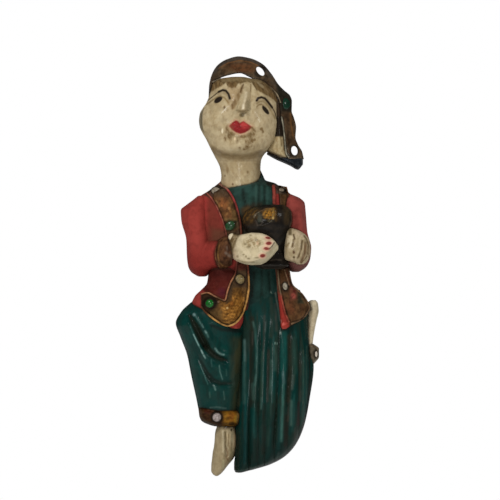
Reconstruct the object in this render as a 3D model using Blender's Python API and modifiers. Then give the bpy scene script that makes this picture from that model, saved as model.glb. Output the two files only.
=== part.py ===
"""A painted papier-mache figure that hangs on a wall: a folk musician in a jacket and pleated skirt.

The figure is one flat-backed moulding, and glass stones are set into pockets in its surface. It is
laid out on a sheet ruled in modules: a place is (across, down), and a depth is counted forward from
the wall. World axes are +X to the viewer's right, +Z up and -Y forward, and the origin is the place
on the flat back, between the shoulders, where the figure is fixed to its wall.
"""

import math

import bmesh
import bpy
import numpy as np
from mathutils import Matrix, Vector
from mathutils.bvhtree import BVHTree

# Sizes in metres
HEIGHT = 0.500
STONE_CLEARANCE = 0.0003
WELD = 0.000001

# The sheet: how many modules tall the figure is, and where on it the fixing point lies
TALL = 421
FIXING = (245, 215)
MODULE = HEIGHT / TALL

# Modules
BEHIND = -3.0
GRAIN = 0.95
BAND_RAISE = 2.2
PIPING = 1.1
FACE_DEPTH = 64.0

# The moulding is reduced to this many triangles before its back and pockets are cut
FIGURE_TRIANGLES = 7400

# Stones: name, place on the sheet, half width and half height in modules, turn in degrees, colour
WHITE = (0.62, 0.60, 0.57)
PALE = (0.55, 0.50, 0.38)
GREEN = (0.01, 0.12, 0.04)
STONES = (
    ("stone_headdress", 285.7, 104.0, 3.8, 5.6, 0, GREEN),
    ("stone_shoulder_left", 216.5, 191.5, 3.8, 2.8, -30, WHITE),
    ("stone_shoulder_right", 281.5, 190.0, 3.0, 2.0, 15, PALE),
    ("stone_lapel_left", 230.0, 226.0, 4.2, 4.2, 0, GREEN),
    ("stone_front_left", 240.0, 279.0, 4.4, 4.4, 0, PALE),
    ("stone_hem_left", 210.0, 303.0, 4.0, 4.0, 0, GREEN),
    ("stone_front_right", 284.8, 286.5, 2.6, 4.0, 0, WHITE),
    ("stone_hem_right", 300.0, 296.5, 4.2, 4.2, 0, GREEN),
    ("stone_leg_cuff", 217.0, 416.5, 4.2, 4.2, 0, WHITE),
    ("stone_ankle_cuff", 316.0, 354.0, 2.2, 3.2, 0, WHITE),
)
STONE_THICKNESS = 0.55

# Oval holes through the headdress, in the same terms as the stones
HOLES = (
    ("hole_top", 260.3, 71.2, 5.4, 3.0, -52),
    ("hole_end", 294.4, 150.6, 3.2, 4.7, 8),
)


def clear_scene():
    for old in list(bpy.data.objects):
        bpy.data.objects.remove(old)


def world(sheet):
    """World places of rows of (across, down, depth)."""
    sheet = np.asarray(sheet, float)
    return np.stack(
        [sheet[..., 0] - FIXING[0], -sheet[..., 2], FIXING[1] - sheet[..., 1]], axis=-1
    ) * MODULE


def through(points, at):
    """The smooth curve through the points, read at shares of its length, with no overshoot."""
    points = np.asarray(points, float)
    ends = (points[:, :2] + points[:, 2:4]) / 2 if points.shape[1] > 3 else points[:, :2]
    gap = np.linalg.norm(np.diff(ends, axis=0), axis=1)
    reach = np.concatenate([[0], np.cumsum(gap)])
    rise = np.diff(points, axis=0) / gap[:, None]
    slope = np.concatenate([rise[:1], np.zeros_like(rise[1:]), rise[-1:]])
    before, after = rise[:-1], rise[1:]
    same = before * after > 0
    slope[1:-1][same] = 2 / (1 / before[same] + 1 / after[same])
    place = np.clip(np.asarray(at, float), 0, 1) * reach[-1]
    span = np.clip(np.searchsorted(reach, place, side="right") - 1, 0, len(gap) - 1)
    t = ((place - reach[span]) / gap[span])[:, None]
    width = gap[span][:, None]
    return (
        points[span] * (1 - t) ** 2 * (1 + 2 * t)
        + points[span + 1] * t**2 * (3 - 2 * t)
        + slope[span] * width * t * (1 - t) ** 2
        - slope[span + 1] * width * t**2 * (1 - t)
    )


def rows(*table):
    """Stations from level rows of (down, left, right, back, front)."""
    return [(left, down, right, down, back, front) for down, left, right, back, front in table]


def columns(*table):
    """Stations from upright columns of (across, top, bottom, back, front)."""
    return [(across, top, across, bottom, back, front) for across, top, bottom, back, front in table]


def merge(clay, form):
    """Adds one finished form to the clay, and frees it."""
    mesh = bpy.data.meshes.new("form")
    form.to_mesh(mesh)
    form.free()
    clay.from_mesh(mesh)
    bpy.data.meshes.remove(mesh)


def add_form(clay, stations, sides=44, step=1.6, front=2.2, back=3.4, lean=0.0, relief=None):
    """Adds a closed body whose sections run between the two edge places of each station.

    front and back are the roundness of each half of a section: 2 is an ellipse, and more is boxier.
    lean is how far the second edge stands forward of the first, in modules, and
    relief(across, down) gives the modules that the front surface is raised by.
    """
    stations = np.asarray(stations, float)
    middles = (stations[:, :2] + stations[:, 2:4]) / 2
    length = np.linalg.norm(np.diff(middles, axis=0), axis=1).sum()
    rings = max(6, round(length / step)) + 2
    form = bmesh.new()
    bmesh.ops.create_grid(form, x_segments=sides, y_segments=rings, size=1)
    wrap = np.array([v.co for v in form.verts]) / 2 + 0.5
    turn = wrap[:, 0] * math.tau
    ring = wrap[:, 1] * rings
    section = through(stations, (ring - 1) / (rings - 2))
    pole = (ring < 0.5) | (ring > rings - 0.5)
    power = np.where(np.sin(turn) > 0, front, back)
    u = np.sign(np.cos(turn)) * np.abs(np.cos(turn)) ** (2 / power) * ~pole
    v = np.sign(np.sin(turn)) * np.abs(np.sin(turn)) ** (2 / power) * ~pole
    place = (section[:, :2] + section[:, 2:4]) / 2 + u[:, None] * (section[:, 2:4] - section[:, :2]) / 2
    depth = (section[:, 4] + section[:, 5] + lean * u) / 2 + v * (section[:, 5] - section[:, 4]) / 2
    if relief:
        depth += relief(place[:, 0], place[:, 1]) * np.clip(2 * v, 0, 1)
    for vert, co in zip(form.verts, world(np.column_stack([place, depth]))):
        vert.co = co
    bmesh.ops.remove_doubles(form, verts=form.verts, dist=WELD)
    bmesh.ops.recalc_face_normals(form, faces=form.faces)
    merge(clay, form)


def depth_on(tree, across, down):
    """Depth in modules, and outward normal, of the surface that a viewer sees at this place."""
    start = Vector(world((across, down, 2 * TALL)))
    place, normal, _, _ = tree.ray_cast(start, Vector((0, 1, 0)))
    if place is None:
        place, normal, _, _ = tree.find_nearest(Vector(world((across, down, FACE_DEPTH))))
    return -place.y / MODULE, normal


def add_patch(clay, tree, one_edge, other_edge, raise_by, sunk=4.0, across=10, step=2.0):
    """Adds a raised band that lies on the surface between two edges drawn on the sheet."""
    length = np.linalg.norm(np.diff(np.asarray(one_edge, float), axis=0), axis=1).sum()
    along = max(4, round(length / step))
    form = bmesh.new()
    bmesh.ops.create_grid(form, x_segments=across, y_segments=along, size=1)
    grid = np.array([v.co for v in form.verts]) / 2 + 0.5
    place = through(one_edge, grid[:, 1])
    place += grid[:, :1] * (through(other_edge, grid[:, 1]) - place)
    depth = np.array([depth_on(tree, *p)[0] for p in place])
    for vert, co in zip(form.verts, world(np.column_stack([place, depth - sunk]))):
        vert.co = co
    lifted = bmesh.ops.extrude_face_region(form, geom=form.faces[:], use_keep_orig=True)["geom"]
    top = [item for item in lifted if isinstance(item, bmesh.types.BMVert)]
    bmesh.ops.translate(form, verts=top, vec=(0, -(raise_by + sunk) * MODULE, 0))
    bmesh.ops.recalc_face_normals(form, faces=form.faces)
    merge(clay, form)


def add_cord(clay, tree, route, radius=PIPING, lift=BAND_RAISE):
    """Adds a round cord that follows the surface along a route drawn on the sheet."""
    length = np.linalg.norm(np.diff(np.asarray(route, float), axis=0), axis=1).sum()
    places = through(route, np.linspace(0, 1, max(4, round(length / 3))))
    depth = [depth_on(tree, *p)[0] + lift for p in places]
    curve = bpy.data.curves.new("cord", "CURVE")
    curve.dimensions = "3D"
    curve.bevel_depth = radius * MODULE
    curve.bevel_resolution = 1
    curve.use_fill_caps = True
    spline = curve.splines.new("POLY")
    spline.points.add(len(places) - 1)
    for point, co in zip(spline.points, world(np.column_stack([places, depth]))):
        point.co = (*co, 1)
    cord = bpy.data.objects.new("cord", curve)
    mesh = bpy.data.meshes.new_from_object(cord)
    clay.from_mesh(mesh)
    bpy.data.objects.remove(cord)
    bpy.data.meshes.remove(mesh)


def near_route(across, down, route, width):
    """1 on a route drawn on the sheet, falling to 0 away from it."""
    route = np.asarray(route, float)
    nearest = np.full(np.shape(across), np.inf)
    for start, end in zip(route, route[1:]):
        run = end - start
        share = ((across - start[0]) * run[0] + (down - start[1]) * run[1]) / (run @ run)
        share = np.clip(share, 0, 1)
        gap = np.hypot(across - start[0] - share * run[0], down - start[1] - share * run[1])
        nearest = np.minimum(nearest, gap)
    return np.exp(-((nearest / width) ** 2))


def pleats(across, down):
    """The skirt's pleats: sharp valleys between round ridges, closing up a little toward the hem."""
    ridges = np.array([232, 244, 256, 264, 273, 283, 294, 302.5, 311])
    level = np.clip((down - 340) / 100, 0, 1)
    opened = 244 + (across - 244) / (1 - 0.10 * level)
    fold = np.interp(opened, ridges, np.arange(len(ridges)))
    strength = np.clip((down - 315) / 40, 0, 1)
    return strength * 4.5 * (np.abs(np.cos(math.pi * fold)) - 0.75)


def leg_folds(across, down):
    """The cloth over the bent knee: deep slanting folds under it, and soft ridges between them."""
    upper = [(188, 316), (198, 330), (208, 347), (216, 354), (228, 359)]
    lower = [(198, 362), (208, 378), (218, 385), (232, 387)]
    ridge = [(200, 316), (212, 334), (228, 346)]
    middle = [(196, 350), (206, 364), (222, 372)]
    return (
        -6.0 * near_route(across, down, upper, 4.0)
        - 3.5 * near_route(across, down, lower, 3.6)
        + 2.0 * near_route(across, down, ridge, 6.0)
        + 1.5 * near_route(across, down, middle, 5.0)
    )


def face_relief(across, down):
    """Eye hollows, brow, cheeks and chin, turned with the head's lean to the viewer's right."""
    def soft(x, y, wide, high):
        return np.exp(-(((across - x) / wide) ** 2) - ((down - y) / high) ** 2)

    return (
        -3.0 * soft(219, 101, 9, 6)
        - 3.0 * soft(264, 109, 8, 6)
        + 1.8 * soft(217, 119, 11, 8)
        + 1.8 * soft(262, 126, 11, 8)
        + 3.0 * soft(240, 146, 12, 6)
        - 2.0 * soft(240, 138, 10, 3)
    )


def add_body(clay):
    """Torso, skirt, bent leg and the jacket's two tails: what the bands and cords lie on."""
    add_form(clay, rows(
        (174, 226, 262, BEHIND, 38), (183, 214, 276, BEHIND, 43), (190, 208, 290, BEHIND, 46),
        (200, 203, 296, BEHIND, 50), (215, 204, 296, BEHIND, 54), (250, 206, 294, BEHIND, 54),
        (275, 209, 288, BEHIND, 51), (300, 212, 296, BEHIND, 50), (318, 220, 296, BEHIND, 44)))
    add_form(clay, rows(
        (290, 222, 300, BEHIND, 46), (310, 228, 309, BEHIND, 50), (335, 236, 312, BEHIND, 52),
        (365, 238, 314, BEHIND, 54), (400, 238, 309.5, BEHIND, 55), (423, 237, 305, BEHIND, 54),
        (441, 236.5, 298, BEHIND, 52), (455, 235, 287, BEHIND, 50), (464, 234, 272, BEHIND, 47),
        (469, 234, 254, BEHIND, 43), (472, 235, 241, BEHIND, 38)), sides=96, relief=pleats)
    add_form(clay, rows(
        (296, 200, 238, BEHIND, 44), (304, 189, 244, BEHIND, 50), (312, 181, 246, BEHIND, 54),
        (323, 175.7, 247, BEHIND, 56), (336, 180, 247, BEHIND, 54), (355, 187, 246, BEHIND, 51),
        (375, 191, 245, BEHIND, 47), (398, 196, 242, BEHIND, 43), (412, 199, 240, BEHIND, 41),
        (420, 203, 237, BEHIND, 38)), sides=72, relief=leg_folds)
    add_form(clay, rows(
        (268, 209, 248, 20, 50), (283, 207, 249, 10, 55), (290, 201, 249.5, BEHIND, 57),
        (296, 195, 249, BEHIND, 59), (303, 192, 248, BEHIND, 61), (313, 202, 246, BEHIND, 61),
        (322, 216, 243, 20, 60), (328, 232, 240, 30, 58)))
    add_form(clay, rows(
        (268, 275, 289, 20, 48), (283, 277, 291, 10, 53), (290, 278, 299, BEHIND, 55),
        (297, 279, 304, BEHIND, 56), (306, 280, 309, BEHIND, 56), (312, 281, 308, BEHIND, 56),
        (320, 282, 299, 10, 55), (328, 283, 288, 20, 54)), sides=32)


def add_bands(clay):
    """The jacket's trimmed edges: broad bands with a cord along each side."""
    tree = BVHTree.FromBMesh(clay)
    shoulder = [(208, 192.5), (211, 190), (215, 187)]
    left_outer = [(214, 187), (213, 198), (219, 211), (224, 224), (227, 242)]
    left_inner = [(220, 184), (229, 192), (236, 206), (240.5, 226), (241.5, 242)]
    add_patch(clay, tree, left_outer, left_inner, BAND_RAISE)
    add_cord(clay, tree, shoulder)
    add_cord(clay, tree, [(207, 196), (211, 200), (217, 210), (222, 222), (225, 238)])
    add_cord(clay, tree, left_inner)
    right_outer = [(288, 190), (292, 198), (291, 208)]
    right_inner = [(276, 183), (280, 194), (281, 206)]
    add_patch(clay, tree, right_inner, right_outer, BAND_RAISE)
    add_cord(clay, tree, right_inner)
    tail_upper = [(237, 262), (236, 275), (230, 286), (225, 298), (213, 295), (201, 295)]
    tail_lower = [(248, 262), (248, 290), (246, 308), (238, 322), (222, 323.5), (200, 303)]
    add_patch(clay, tree, tail_upper, tail_lower, BAND_RAISE, across=16)
    add_cord(clay, tree, tail_lower)
    add_cord(clay, tree, tail_upper)
    flap_inner = [(276, 266), (278, 290), (282, 312), (287, 323)]
    flap_outer = [(288, 266), (291, 283), (303, 296), (308.5, 307), (303, 317), (291, 323.5)]
    add_patch(clay, tree, flap_inner, flap_outer, BAND_RAISE)
    add_cord(clay, tree, flap_inner)
    add_cord(clay, tree, flap_outer)


def add_arms(clay):
    """Sleeves, with the forearms bent up to hold the pot, and both hands."""
    add_form(clay, rows(
        (196, 197, 205, BEHIND, 36), (200, 190, 208, BEHIND, 44), (207, 182, 209, BEHIND, 49),
        (220, 182, 210, BEHIND, 52), (240, 187, 212, BEHIND, 53), (256, 187.5, 212, BEHIND, 53),
        (266, 190, 212, BEHIND, 51), (272, 194, 210, BEHIND, 46), (276, 200, 204, BEHIND, 40)))
    add_form(clay, columns(
        (194, 248, 271, 12, 48), (205, 241, 272, 20, 54), (213, 240, 268.5, 28, 60),
        (221, 241, 267, 34, 65), (231, 243, 264.5, 40, 68)), sides=32)
    add_form(clay, rows(
        (194, 286, 291, BEHIND, 34), (198, 282, 299, BEHIND, 42), (203, 281, 304.3, BEHIND, 47),
        (212, 281, 305.2, BEHIND, 50), (232, 283, 307.5, BEHIND, 52), (248, 285, 311.3, BEHIND, 54),
        (258, 285, 310.5, BEHIND, 54), (265, 286, 307, BEHIND, 50), (270.5, 292, 299, BEHIND, 42)))
    add_form(clay, columns(
        (214, 242, 267.5, 30, 60), (218, 240.2, 268.8, 30, 64), (226, 241, 267, 38, 68),
        (231, 243, 265, 44, 69)), sides=32)
    add_form(clay, columns(
        (228, 244, 260, 46, 66), (236, 238, 261, 50, 72), (244, 234.5, 263.5, 52, 78),
        (252, 232.5, 265, 54, 82), (260, 233, 264.5, 56, 84), (267, 235.5, 261, 58, 82),
        (273, 240, 255, 62, 78), (278, 245, 248.5, 66, 73)), sides=36, back=2.4)
    add_form(clay, rows(
        (229, 287, 292, 48, 62), (232.5, 286.5, 299.5, 44, 68), (237, 285.5, 305, 42, 72),
        (246, 284.5, 308.5, 40, 76), (254, 284, 308, 40, 76), (259, 285, 305, 42, 72),
        (263, 296, 303, 46, 64)), sides=36, back=2.4)


def add_pot(clay):
    """The small round pot between the hands, flaring again at its foot."""
    axis_depth = 56
    squash = 0.73
    outline = (
        (205, 264, 283), (208, 252, 288.5), (213, 245, 291.5), (220, 242.5, 292), (228, 244, 290.5),
        (234, 248, 288), (242, 255, 286), (252, 262, 284), (260, 259, 287), (265, 254, 289),
        (269, 262, 282))
    add_form(clay, rows(*(
        (down, left, right, axis_depth - squash * (right - left) / 2,
         axis_depth + squash * (right - left) / 2) for down, left, right in outline)),
        sides=36, back=2.2)


def add_head(clay):
    """Head leaning a little to the viewer's right, with its ear, nose, lips, neck and side lock."""
    add_form(clay, rows(
        (78.5, 230, 250, 8, 46), (83, 214, 266, 2, 55), (90, 210, 274, BEHIND, 60),
        (103, 206, 278, BEHIND, FACE_DEPTH - 1), (116, 203.5, 279, BEHIND, FACE_DEPTH),
        (127, 203, 278, BEHIND, FACE_DEPTH), (138, 205, 276.5, BEHIND, FACE_DEPTH - 1),
        (150, 211, 269.5, BEHIND, FACE_DEPTH - 5), (157, 215, 263, BEHIND, FACE_DEPTH - 11),
        (162, 223, 255, BEHIND, 46)), sides=64, relief=face_relief)
    add_form(clay, rows(
        (150, 218, 262, BEHIND, 42), (166, 219, 260.5, BEHIND, 45), (178, 220.5, 260.5, BEHIND, 46),
        (188, 220, 262, BEHIND, 46), (194, 224, 258, BEHIND, 44)))
    add_form(clay, rows(
        (107, 203, 209, 14, 30), (113, 199.5, 210, 12, 34), (122, 199, 210, 12, 35),
        (129, 200, 210, 14, 33), (134, 204, 210, 16, 30)), sides=24)
    add_form(clay, rows(
        (88, 245, 249.5, 50, FACE_DEPTH - 2), (98, 241, 250, 50, FACE_DEPTH + 4),
        (107, 236.5, 249.5, 50, FACE_DEPTH + 9), (111, 235.5, 249, 50, FACE_DEPTH + 9),
        (114, 239, 246, 50, FACE_DEPTH + 3)), sides=20, front=1.5)
    add_form(clay, columns(
        (229.5, 126, 128, 54, FACE_DEPTH - 1), (235.5, 122, 131.5, 54, FACE_DEPTH + 2.5),
        (240.5, 123, 134.5, 54, FACE_DEPTH + 3.5), (246, 123, 133, 54, FACE_DEPTH + 2.5),
        (252.5, 127.5, 129.5, 54, FACE_DEPTH - 1)), sides=20)
    add_form(clay, rows(
        (99, 274, 280, 12, 40), (117, 274, 282, 8, 42), (130, 273, 284, 8, 43),
        (140, 270, 285.5, 8, 44), (150, 266, 287, 8, 43), (157.5, 277, 289, 12, 40)), sides=24)


def add_headdress(clay):
    """A stiff folded cloth that stands clear of the crown, with its end hanging beside the cheek."""
    outer = [(208.5, 97), (209, 86), (210.5, 78), (213.5, 70.5), (219, 64), (228, 59), (240, 56),
             (252, 58), (263, 64), (271, 73), (279, 84), (286, 92), (291, 100), (294, 121),
             (297, 141), (301, 149), (304, 159)]
    inner = [(213, 97), (214, 88), (215.5, 82.5), (218, 79.5), (222.5, 77), (230, 75), (240, 73.5),
             (250, 76.5), (259, 79.5), (265, 85), (271, 90), (277, 98), (279, 105), (281, 121),
             (284, 142), (285.5, 151), (288, 159)]
    stations = [(*one, *two, 24, 34) for one, two in zip(outer, inner)]
    add_form(clay, stations, sides=28, front=3.2, back=3.2, lean=13)
    add_form(clay, columns(
        (267, 152.5, 154.5, 14, 36), (276, 153, 159.5, 14, 38), (284, 154, 163, 14, 38),
        (290, 156.5, 165.7, 14, 38), (298, 157.5, 169.6, 14, 37), (303, 158, 164.5, 16, 32)),
        sides=24)


def add_feet(clay):
    """The pointed foot, the cuffs, and the other leg folded back behind the skirt."""
    add_form(clay, [
        (198.5, 410, 200, 418, 2, 34), (206, 406.5, 206, 423.5, BEHIND, 43),
        (218, 408, 216, 426.5, BEHIND, 46), (230, 408.5, 230, 428, BEHIND, 45),
        (239, 411, 239, 425.5, 4, 38)], sides=32)
    add_form(clay, rows(
        (418, 215, 237, 0, 36), (428, 216.5, 234.5, 0, 38), (437, 214.8, 238.5, BEHIND, 36),
        (447, 213.6, 238.8, BEHIND, 34), (456, 212.2, 235.5, BEHIND, 31), (464, 211, 230, BEHIND, 29),
        (471, 211.3, 224, 0, 26), (476.5, 214, 219, 4, 21)))
    add_form(clay, rows(
        (300.5, 311, 316, 4, 20), (304, 309, 318.3, BEHIND, 25), (311, 309.5, 318.5, BEHIND, 27),
        (324, 308, 316, BEHIND, 27), (338, 306, 313.5, BEHIND, 26), (350, 302, 312.5, BEHIND, 26)),
        sides=28)
    add_form(clay, rows(
        (344.5, 306, 314, BEHIND, 28), (349, 306, 319.3, BEHIND, 32), (357, 306, 319.3, BEHIND, 32),
        (364, 306, 314.5, BEHIND, 28)), sides=32)
    add_form(clay, rows(
        (340, 296, 312, BEHIND, 26), (380, 292, 311, BEHIND, 30), (415, 284, 304, BEHIND, 28),
        (430, 280, 296, BEHIND, 24)), sides=28)


def material(name, colour, roughness, transmission=0.0):
    mat = bpy.data.materials.new(name)
    mat.use_nodes = True
    shader = mat.node_tree.nodes["Principled BSDF"]
    shader.inputs["Base Color"].default_value = (*colour, 1)
    shader.inputs["Roughness"].default_value = roughness
    shader.inputs["Metallic"].default_value = 0.0
    shader.inputs["Transmission Weight"].default_value = transmission
    mat.diffuse_color = (*colour, 1)
    return mat


def object_of(name, bm, collection, mat=None):
    mesh = bpy.data.meshes.new(name)
    bm.to_mesh(mesh)
    bm.free()
    if mat:
        mesh.materials.append(mat)
    obj = bpy.data.objects.new(name, mesh)
    collection.objects.link(obj)
    return obj


def new_collection(name, hidden=False):
    collection = bpy.data.collections.new(name)
    bpy.context.scene.collection.children.link(collection)
    collection.hide_render = hidden
    return collection


def add_figure(part):
    """The whole moulding: every form joined by one even skin, then thinned to a light mesh."""
    clay = bmesh.new()
    add_body(clay)
    add_bands(clay)
    add_arms(clay)
    add_pot(clay)
    add_head(clay)
    add_headdress(clay)
    add_feet(clay)
    figure = object_of("figure", clay, part, material("lacquered_papier_mache", (0.04, 0.14, 0.13), 0.3))
    skin = figure.modifiers.new("skin", "REMESH")
    skin.mode = "VOXEL"
    skin.voxel_size = GRAIN * MODULE
    bpy.context.view_layer.update()
    dense = figure.evaluated_get(bpy.context.evaluated_depsgraph_get()).data
    thin = figure.modifiers.new("thin", "DECIMATE")
    thin.ratio = FIGURE_TRIANGLES / (2 * len(dense.polygons))
    return figure


def cut(target, cutter):
    tool = target.modifiers.new(cutter.name, "BOOLEAN")
    tool.operation = "DIFFERENCE"
    tool.solver = "EXACT"
    tool.object = cutter


def add_wall_cutter(cutters):
    """Everything behind the wall's plane, so that the back is flat."""
    bm = bmesh.new()
    bmesh.ops.create_cube(bm, size=2 * HEIGHT)
    bmesh.ops.translate(bm, verts=bm.verts, vec=(0, HEIGHT, FIXING[1] * MODULE - HEIGHT / 2))
    return object_of("wall_cutter", bm, cutters)


def lens(half_width, half_height, half_thickness, frame):
    """A flattened glass bead, lying in the given frame."""
    bm = bmesh.new()
    bmesh.ops.create_uvsphere(bm, u_segments=10, v_segments=5, radius=1)
    bmesh.ops.scale(bm, vec=(half_width, half_height, half_thickness), verts=bm.verts)
    bmesh.ops.transform(bm, matrix=frame, verts=bm.verts)
    return bm


def seat(tree, across, down, turn):
    """The frame of a stone: its Z out of the surface, its X level and then turned."""
    depth, normal = depth_on(tree, across, down)
    out = (normal + Vector((0, -0.6, 0))).normalized()
    level = Vector((1, 0, 0))
    side = (level - out * level.dot(out)).normalized()
    axes = Matrix((side, out.cross(side), out)).transposed().to_4x4()
    turned = axes @ Matrix.Rotation(math.radians(turn), 4, "Z")
    turned.translation = Vector(world((across, down, depth)))
    return turned


def add_stones(figure, part, cutters):
    evaluated = figure.evaluated_get(bpy.context.evaluated_depsgraph_get())
    tree = BVHTree.FromObject(evaluated, bpy.context.evaluated_depsgraph_get())
    for name, across, down, half_width, half_height, turn, colour in STONES:
        frame = seat(tree, across, down, turn)
        halves = [half * MODULE for half in
                  (half_width, half_height, STONE_THICKNESS * min(half_width, half_height))]
        object_of(name, lens(*halves, frame), part, material(name, colour, 0.08))
        object_of(name + "_pocket", lens(*(half + STONE_CLEARANCE for half in halves), frame),
                  cutters)


def add_hole_cutters(cutters):
    """Oval drills that pass through the headdress from front to back."""
    for name, across, down, half_width, half_height, turn in HOLES:
        bm = bmesh.new()
        bmesh.ops.create_cone(bm, cap_ends=True, segments=16, radius1=1, radius2=1, depth=HEIGHT)
        bmesh.ops.scale(bm, vec=(half_width * MODULE, half_height * MODULE, 1), verts=bm.verts)
        frame = (Matrix.Translation(world((across, down, 0)))
                 @ Matrix.Rotation(math.radians(90), 4, "X")
                 @ Matrix.Rotation(math.radians(turn), 4, "Z"))
        bmesh.ops.transform(bm, matrix=frame, verts=bm.verts)
        object_of(name, bm, cutters)


def main():
    clear_scene()
    part = new_collection("papier_mache_figure")
    cutters = new_collection("cutters", hidden=True)
    figure = add_figure(part)
    bpy.context.view_layer.update()
    add_stones(figure, part, cutters)
    add_hole_cutters(cutters)
    add_wall_cutter(cutters)
    for cutter in cutters.objects:
        cut(figure, cutter)
        cutter.hide_render = True
        cutter.display_type = "WIRE"


main()
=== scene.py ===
"""The looks of a painted papier-mache figure that hangs on a wall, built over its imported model.

The figure is laid out on a sheet ruled in modules, as its maker's drawing was: a place is (across,
down), and a depth is counted forward from the wall, which is the plane of the flat back.
"""

import math

import bmesh
import bpy
import numpy as np
from mathutils import Matrix, Vector
from mathutils.bvhtree import BVHTree

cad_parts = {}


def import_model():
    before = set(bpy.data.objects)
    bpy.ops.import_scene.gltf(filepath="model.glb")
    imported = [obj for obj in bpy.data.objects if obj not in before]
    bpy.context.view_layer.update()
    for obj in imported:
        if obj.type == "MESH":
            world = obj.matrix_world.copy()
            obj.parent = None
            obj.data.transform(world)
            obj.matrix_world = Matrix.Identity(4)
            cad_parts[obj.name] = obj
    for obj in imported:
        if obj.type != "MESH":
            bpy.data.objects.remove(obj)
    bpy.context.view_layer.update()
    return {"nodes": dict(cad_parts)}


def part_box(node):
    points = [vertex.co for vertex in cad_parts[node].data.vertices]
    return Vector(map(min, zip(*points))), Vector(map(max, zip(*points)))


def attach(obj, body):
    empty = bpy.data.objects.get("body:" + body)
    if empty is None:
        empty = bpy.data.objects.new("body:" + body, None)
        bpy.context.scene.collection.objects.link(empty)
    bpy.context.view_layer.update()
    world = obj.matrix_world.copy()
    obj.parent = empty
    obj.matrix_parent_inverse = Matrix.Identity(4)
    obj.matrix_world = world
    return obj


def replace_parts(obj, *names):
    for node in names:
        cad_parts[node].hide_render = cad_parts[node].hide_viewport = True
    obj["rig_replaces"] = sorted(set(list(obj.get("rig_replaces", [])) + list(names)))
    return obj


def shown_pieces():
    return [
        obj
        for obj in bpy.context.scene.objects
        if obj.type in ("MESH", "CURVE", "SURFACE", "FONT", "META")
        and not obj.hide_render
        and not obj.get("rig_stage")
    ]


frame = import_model()

# The studio: a white surround, a pale floor well below the hanging figure, and soft lamps in front.
# The camera is level, square to the flat back and far off, so that near and far parts keep their size.
figure_low, figure_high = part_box("figure")
MODULES_TALL = 421
MODULE = (figure_high.z - figure_low.z) / MODULES_TALL
FIXING = (245, 215)
IMAGE_SIDE = 500
CAMERA_LENS = 300
SENSOR = 36
CLIP_END = 50
PICTURE_DEPTH = 30
FILL, DIM_ROOM = 0.6, 0.08
AIM = (0.0, 0.0, -0.06)
FLOOR_RADIUS, FLOOR_DROP = 1.25, 0.12


def world(sheet):
    """World places of rows of (across, down, depth)."""
    sheet = np.asarray(sheet, float)
    return np.stack(
        [sheet[..., 0] - FIXING[0], -sheet[..., 2], FIXING[1] - sheet[..., 1]], axis=-1
    ) * MODULE


camera = bpy.data.objects.new("camera", bpy.data.cameras.new("camera"))
camera.data.lens = CAMERA_LENS
camera.data.sensor_width = SENSOR
camera.data.clip_end = CLIP_END
centre = world((IMAGE_SIDE / 2, IMAGE_SIDE / 2, PICTURE_DEPTH))
camera.location = centre - np.array([0, IMAGE_SIDE * MODULE * CAMERA_LENS / SENSOR, 0])
camera.rotation_euler = (math.radians(90), 0, 0)
bpy.context.scene.collection.objects.link(camera)
bpy.context.scene.camera = camera

surround = bpy.data.worlds.new("surround")
surround.use_nodes = True
bpy.context.scene.world = surround
sky = surround.node_tree
seen = sky.nodes.new("ShaderNodeLightPath")
backdrop = sky.nodes.new("ShaderNodeBackground")
backdrop.inputs["Color"].default_value = (1, 1, 1, 1)
fill = sky.nodes.new("ShaderNodeBackground")
fill.inputs["Color"].default_value = (1.0, 0.98, 0.95, 1)
fill.inputs["Strength"].default_value = FILL
dim_room = sky.nodes.new("ShaderNodeBackground")
dim_room.inputs["Strength"].default_value = DIM_ROOM
mirrored = sky.nodes.new("ShaderNodeMixShader")
sky.links.new(seen.outputs["Is Glossy Ray"], mirrored.inputs[0])
sky.links.new(fill.outputs[0], mirrored.inputs[1])
sky.links.new(dim_room.outputs[0], mirrored.inputs[2])
either = sky.nodes.new("ShaderNodeMixShader")
sky.links.new(seen.outputs["Is Camera Ray"], either.inputs[0])
sky.links.new(mirrored.outputs[0], either.inputs[1])
sky.links.new(backdrop.outputs[0], either.inputs[2])
sky.links.new(either.outputs[0], sky.nodes["World Output"].inputs[0])


def lamp(name, place, size, power):
    """A square soft lamp that faces the figure."""
    light = bpy.data.lights.new(name, "AREA")
    light.size = size
    light.energy = power
    made = bpy.data.objects.new(name, light)
    made.location = place
    made.rotation_euler = (Vector(AIM) - Vector(place)).to_track_quat("-Z", "Y").to_euler()
    bpy.context.scene.collection.objects.link(made)


lamp("key", (-0.9, -1.5, 1.0), 0.3, 14)
lamp("window", (1.3, -1.5, 0.6), 0.3, 5)
lamp("low_front", (-0.2, -2.0, -0.1), 0.35, 6)

floor_mesh = bmesh.new()
bmesh.ops.create_circle(floor_mesh, cap_ends=True, segments=96, radius=FLOOR_RADIUS)
bmesh.ops.translate(floor_mesh, verts=floor_mesh.verts, vec=(0, 0, figure_low.z - FLOOR_DROP))
floor_data = bpy.data.meshes.new("floor")
floor_mesh.to_mesh(floor_data)
floor_mesh.free()
floor_paint = bpy.data.materials.new("pale_floor")
floor_paint.use_nodes = True
floor_shader = floor_paint.node_tree.nodes["Principled BSDF"]
floor_shader.inputs["Base Color"].default_value = (0.9, 0.9, 0.9, 1)
floor_shader.inputs["Roughness"].default_value = 0.9
floor_data.materials.append(floor_paint)
floor = bpy.data.objects.new("floor", floor_data)
bpy.context.scene.collection.objects.link(floor)
floor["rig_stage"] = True
bpy.context.scene.view_settings.view_transform = "Standard"

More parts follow.
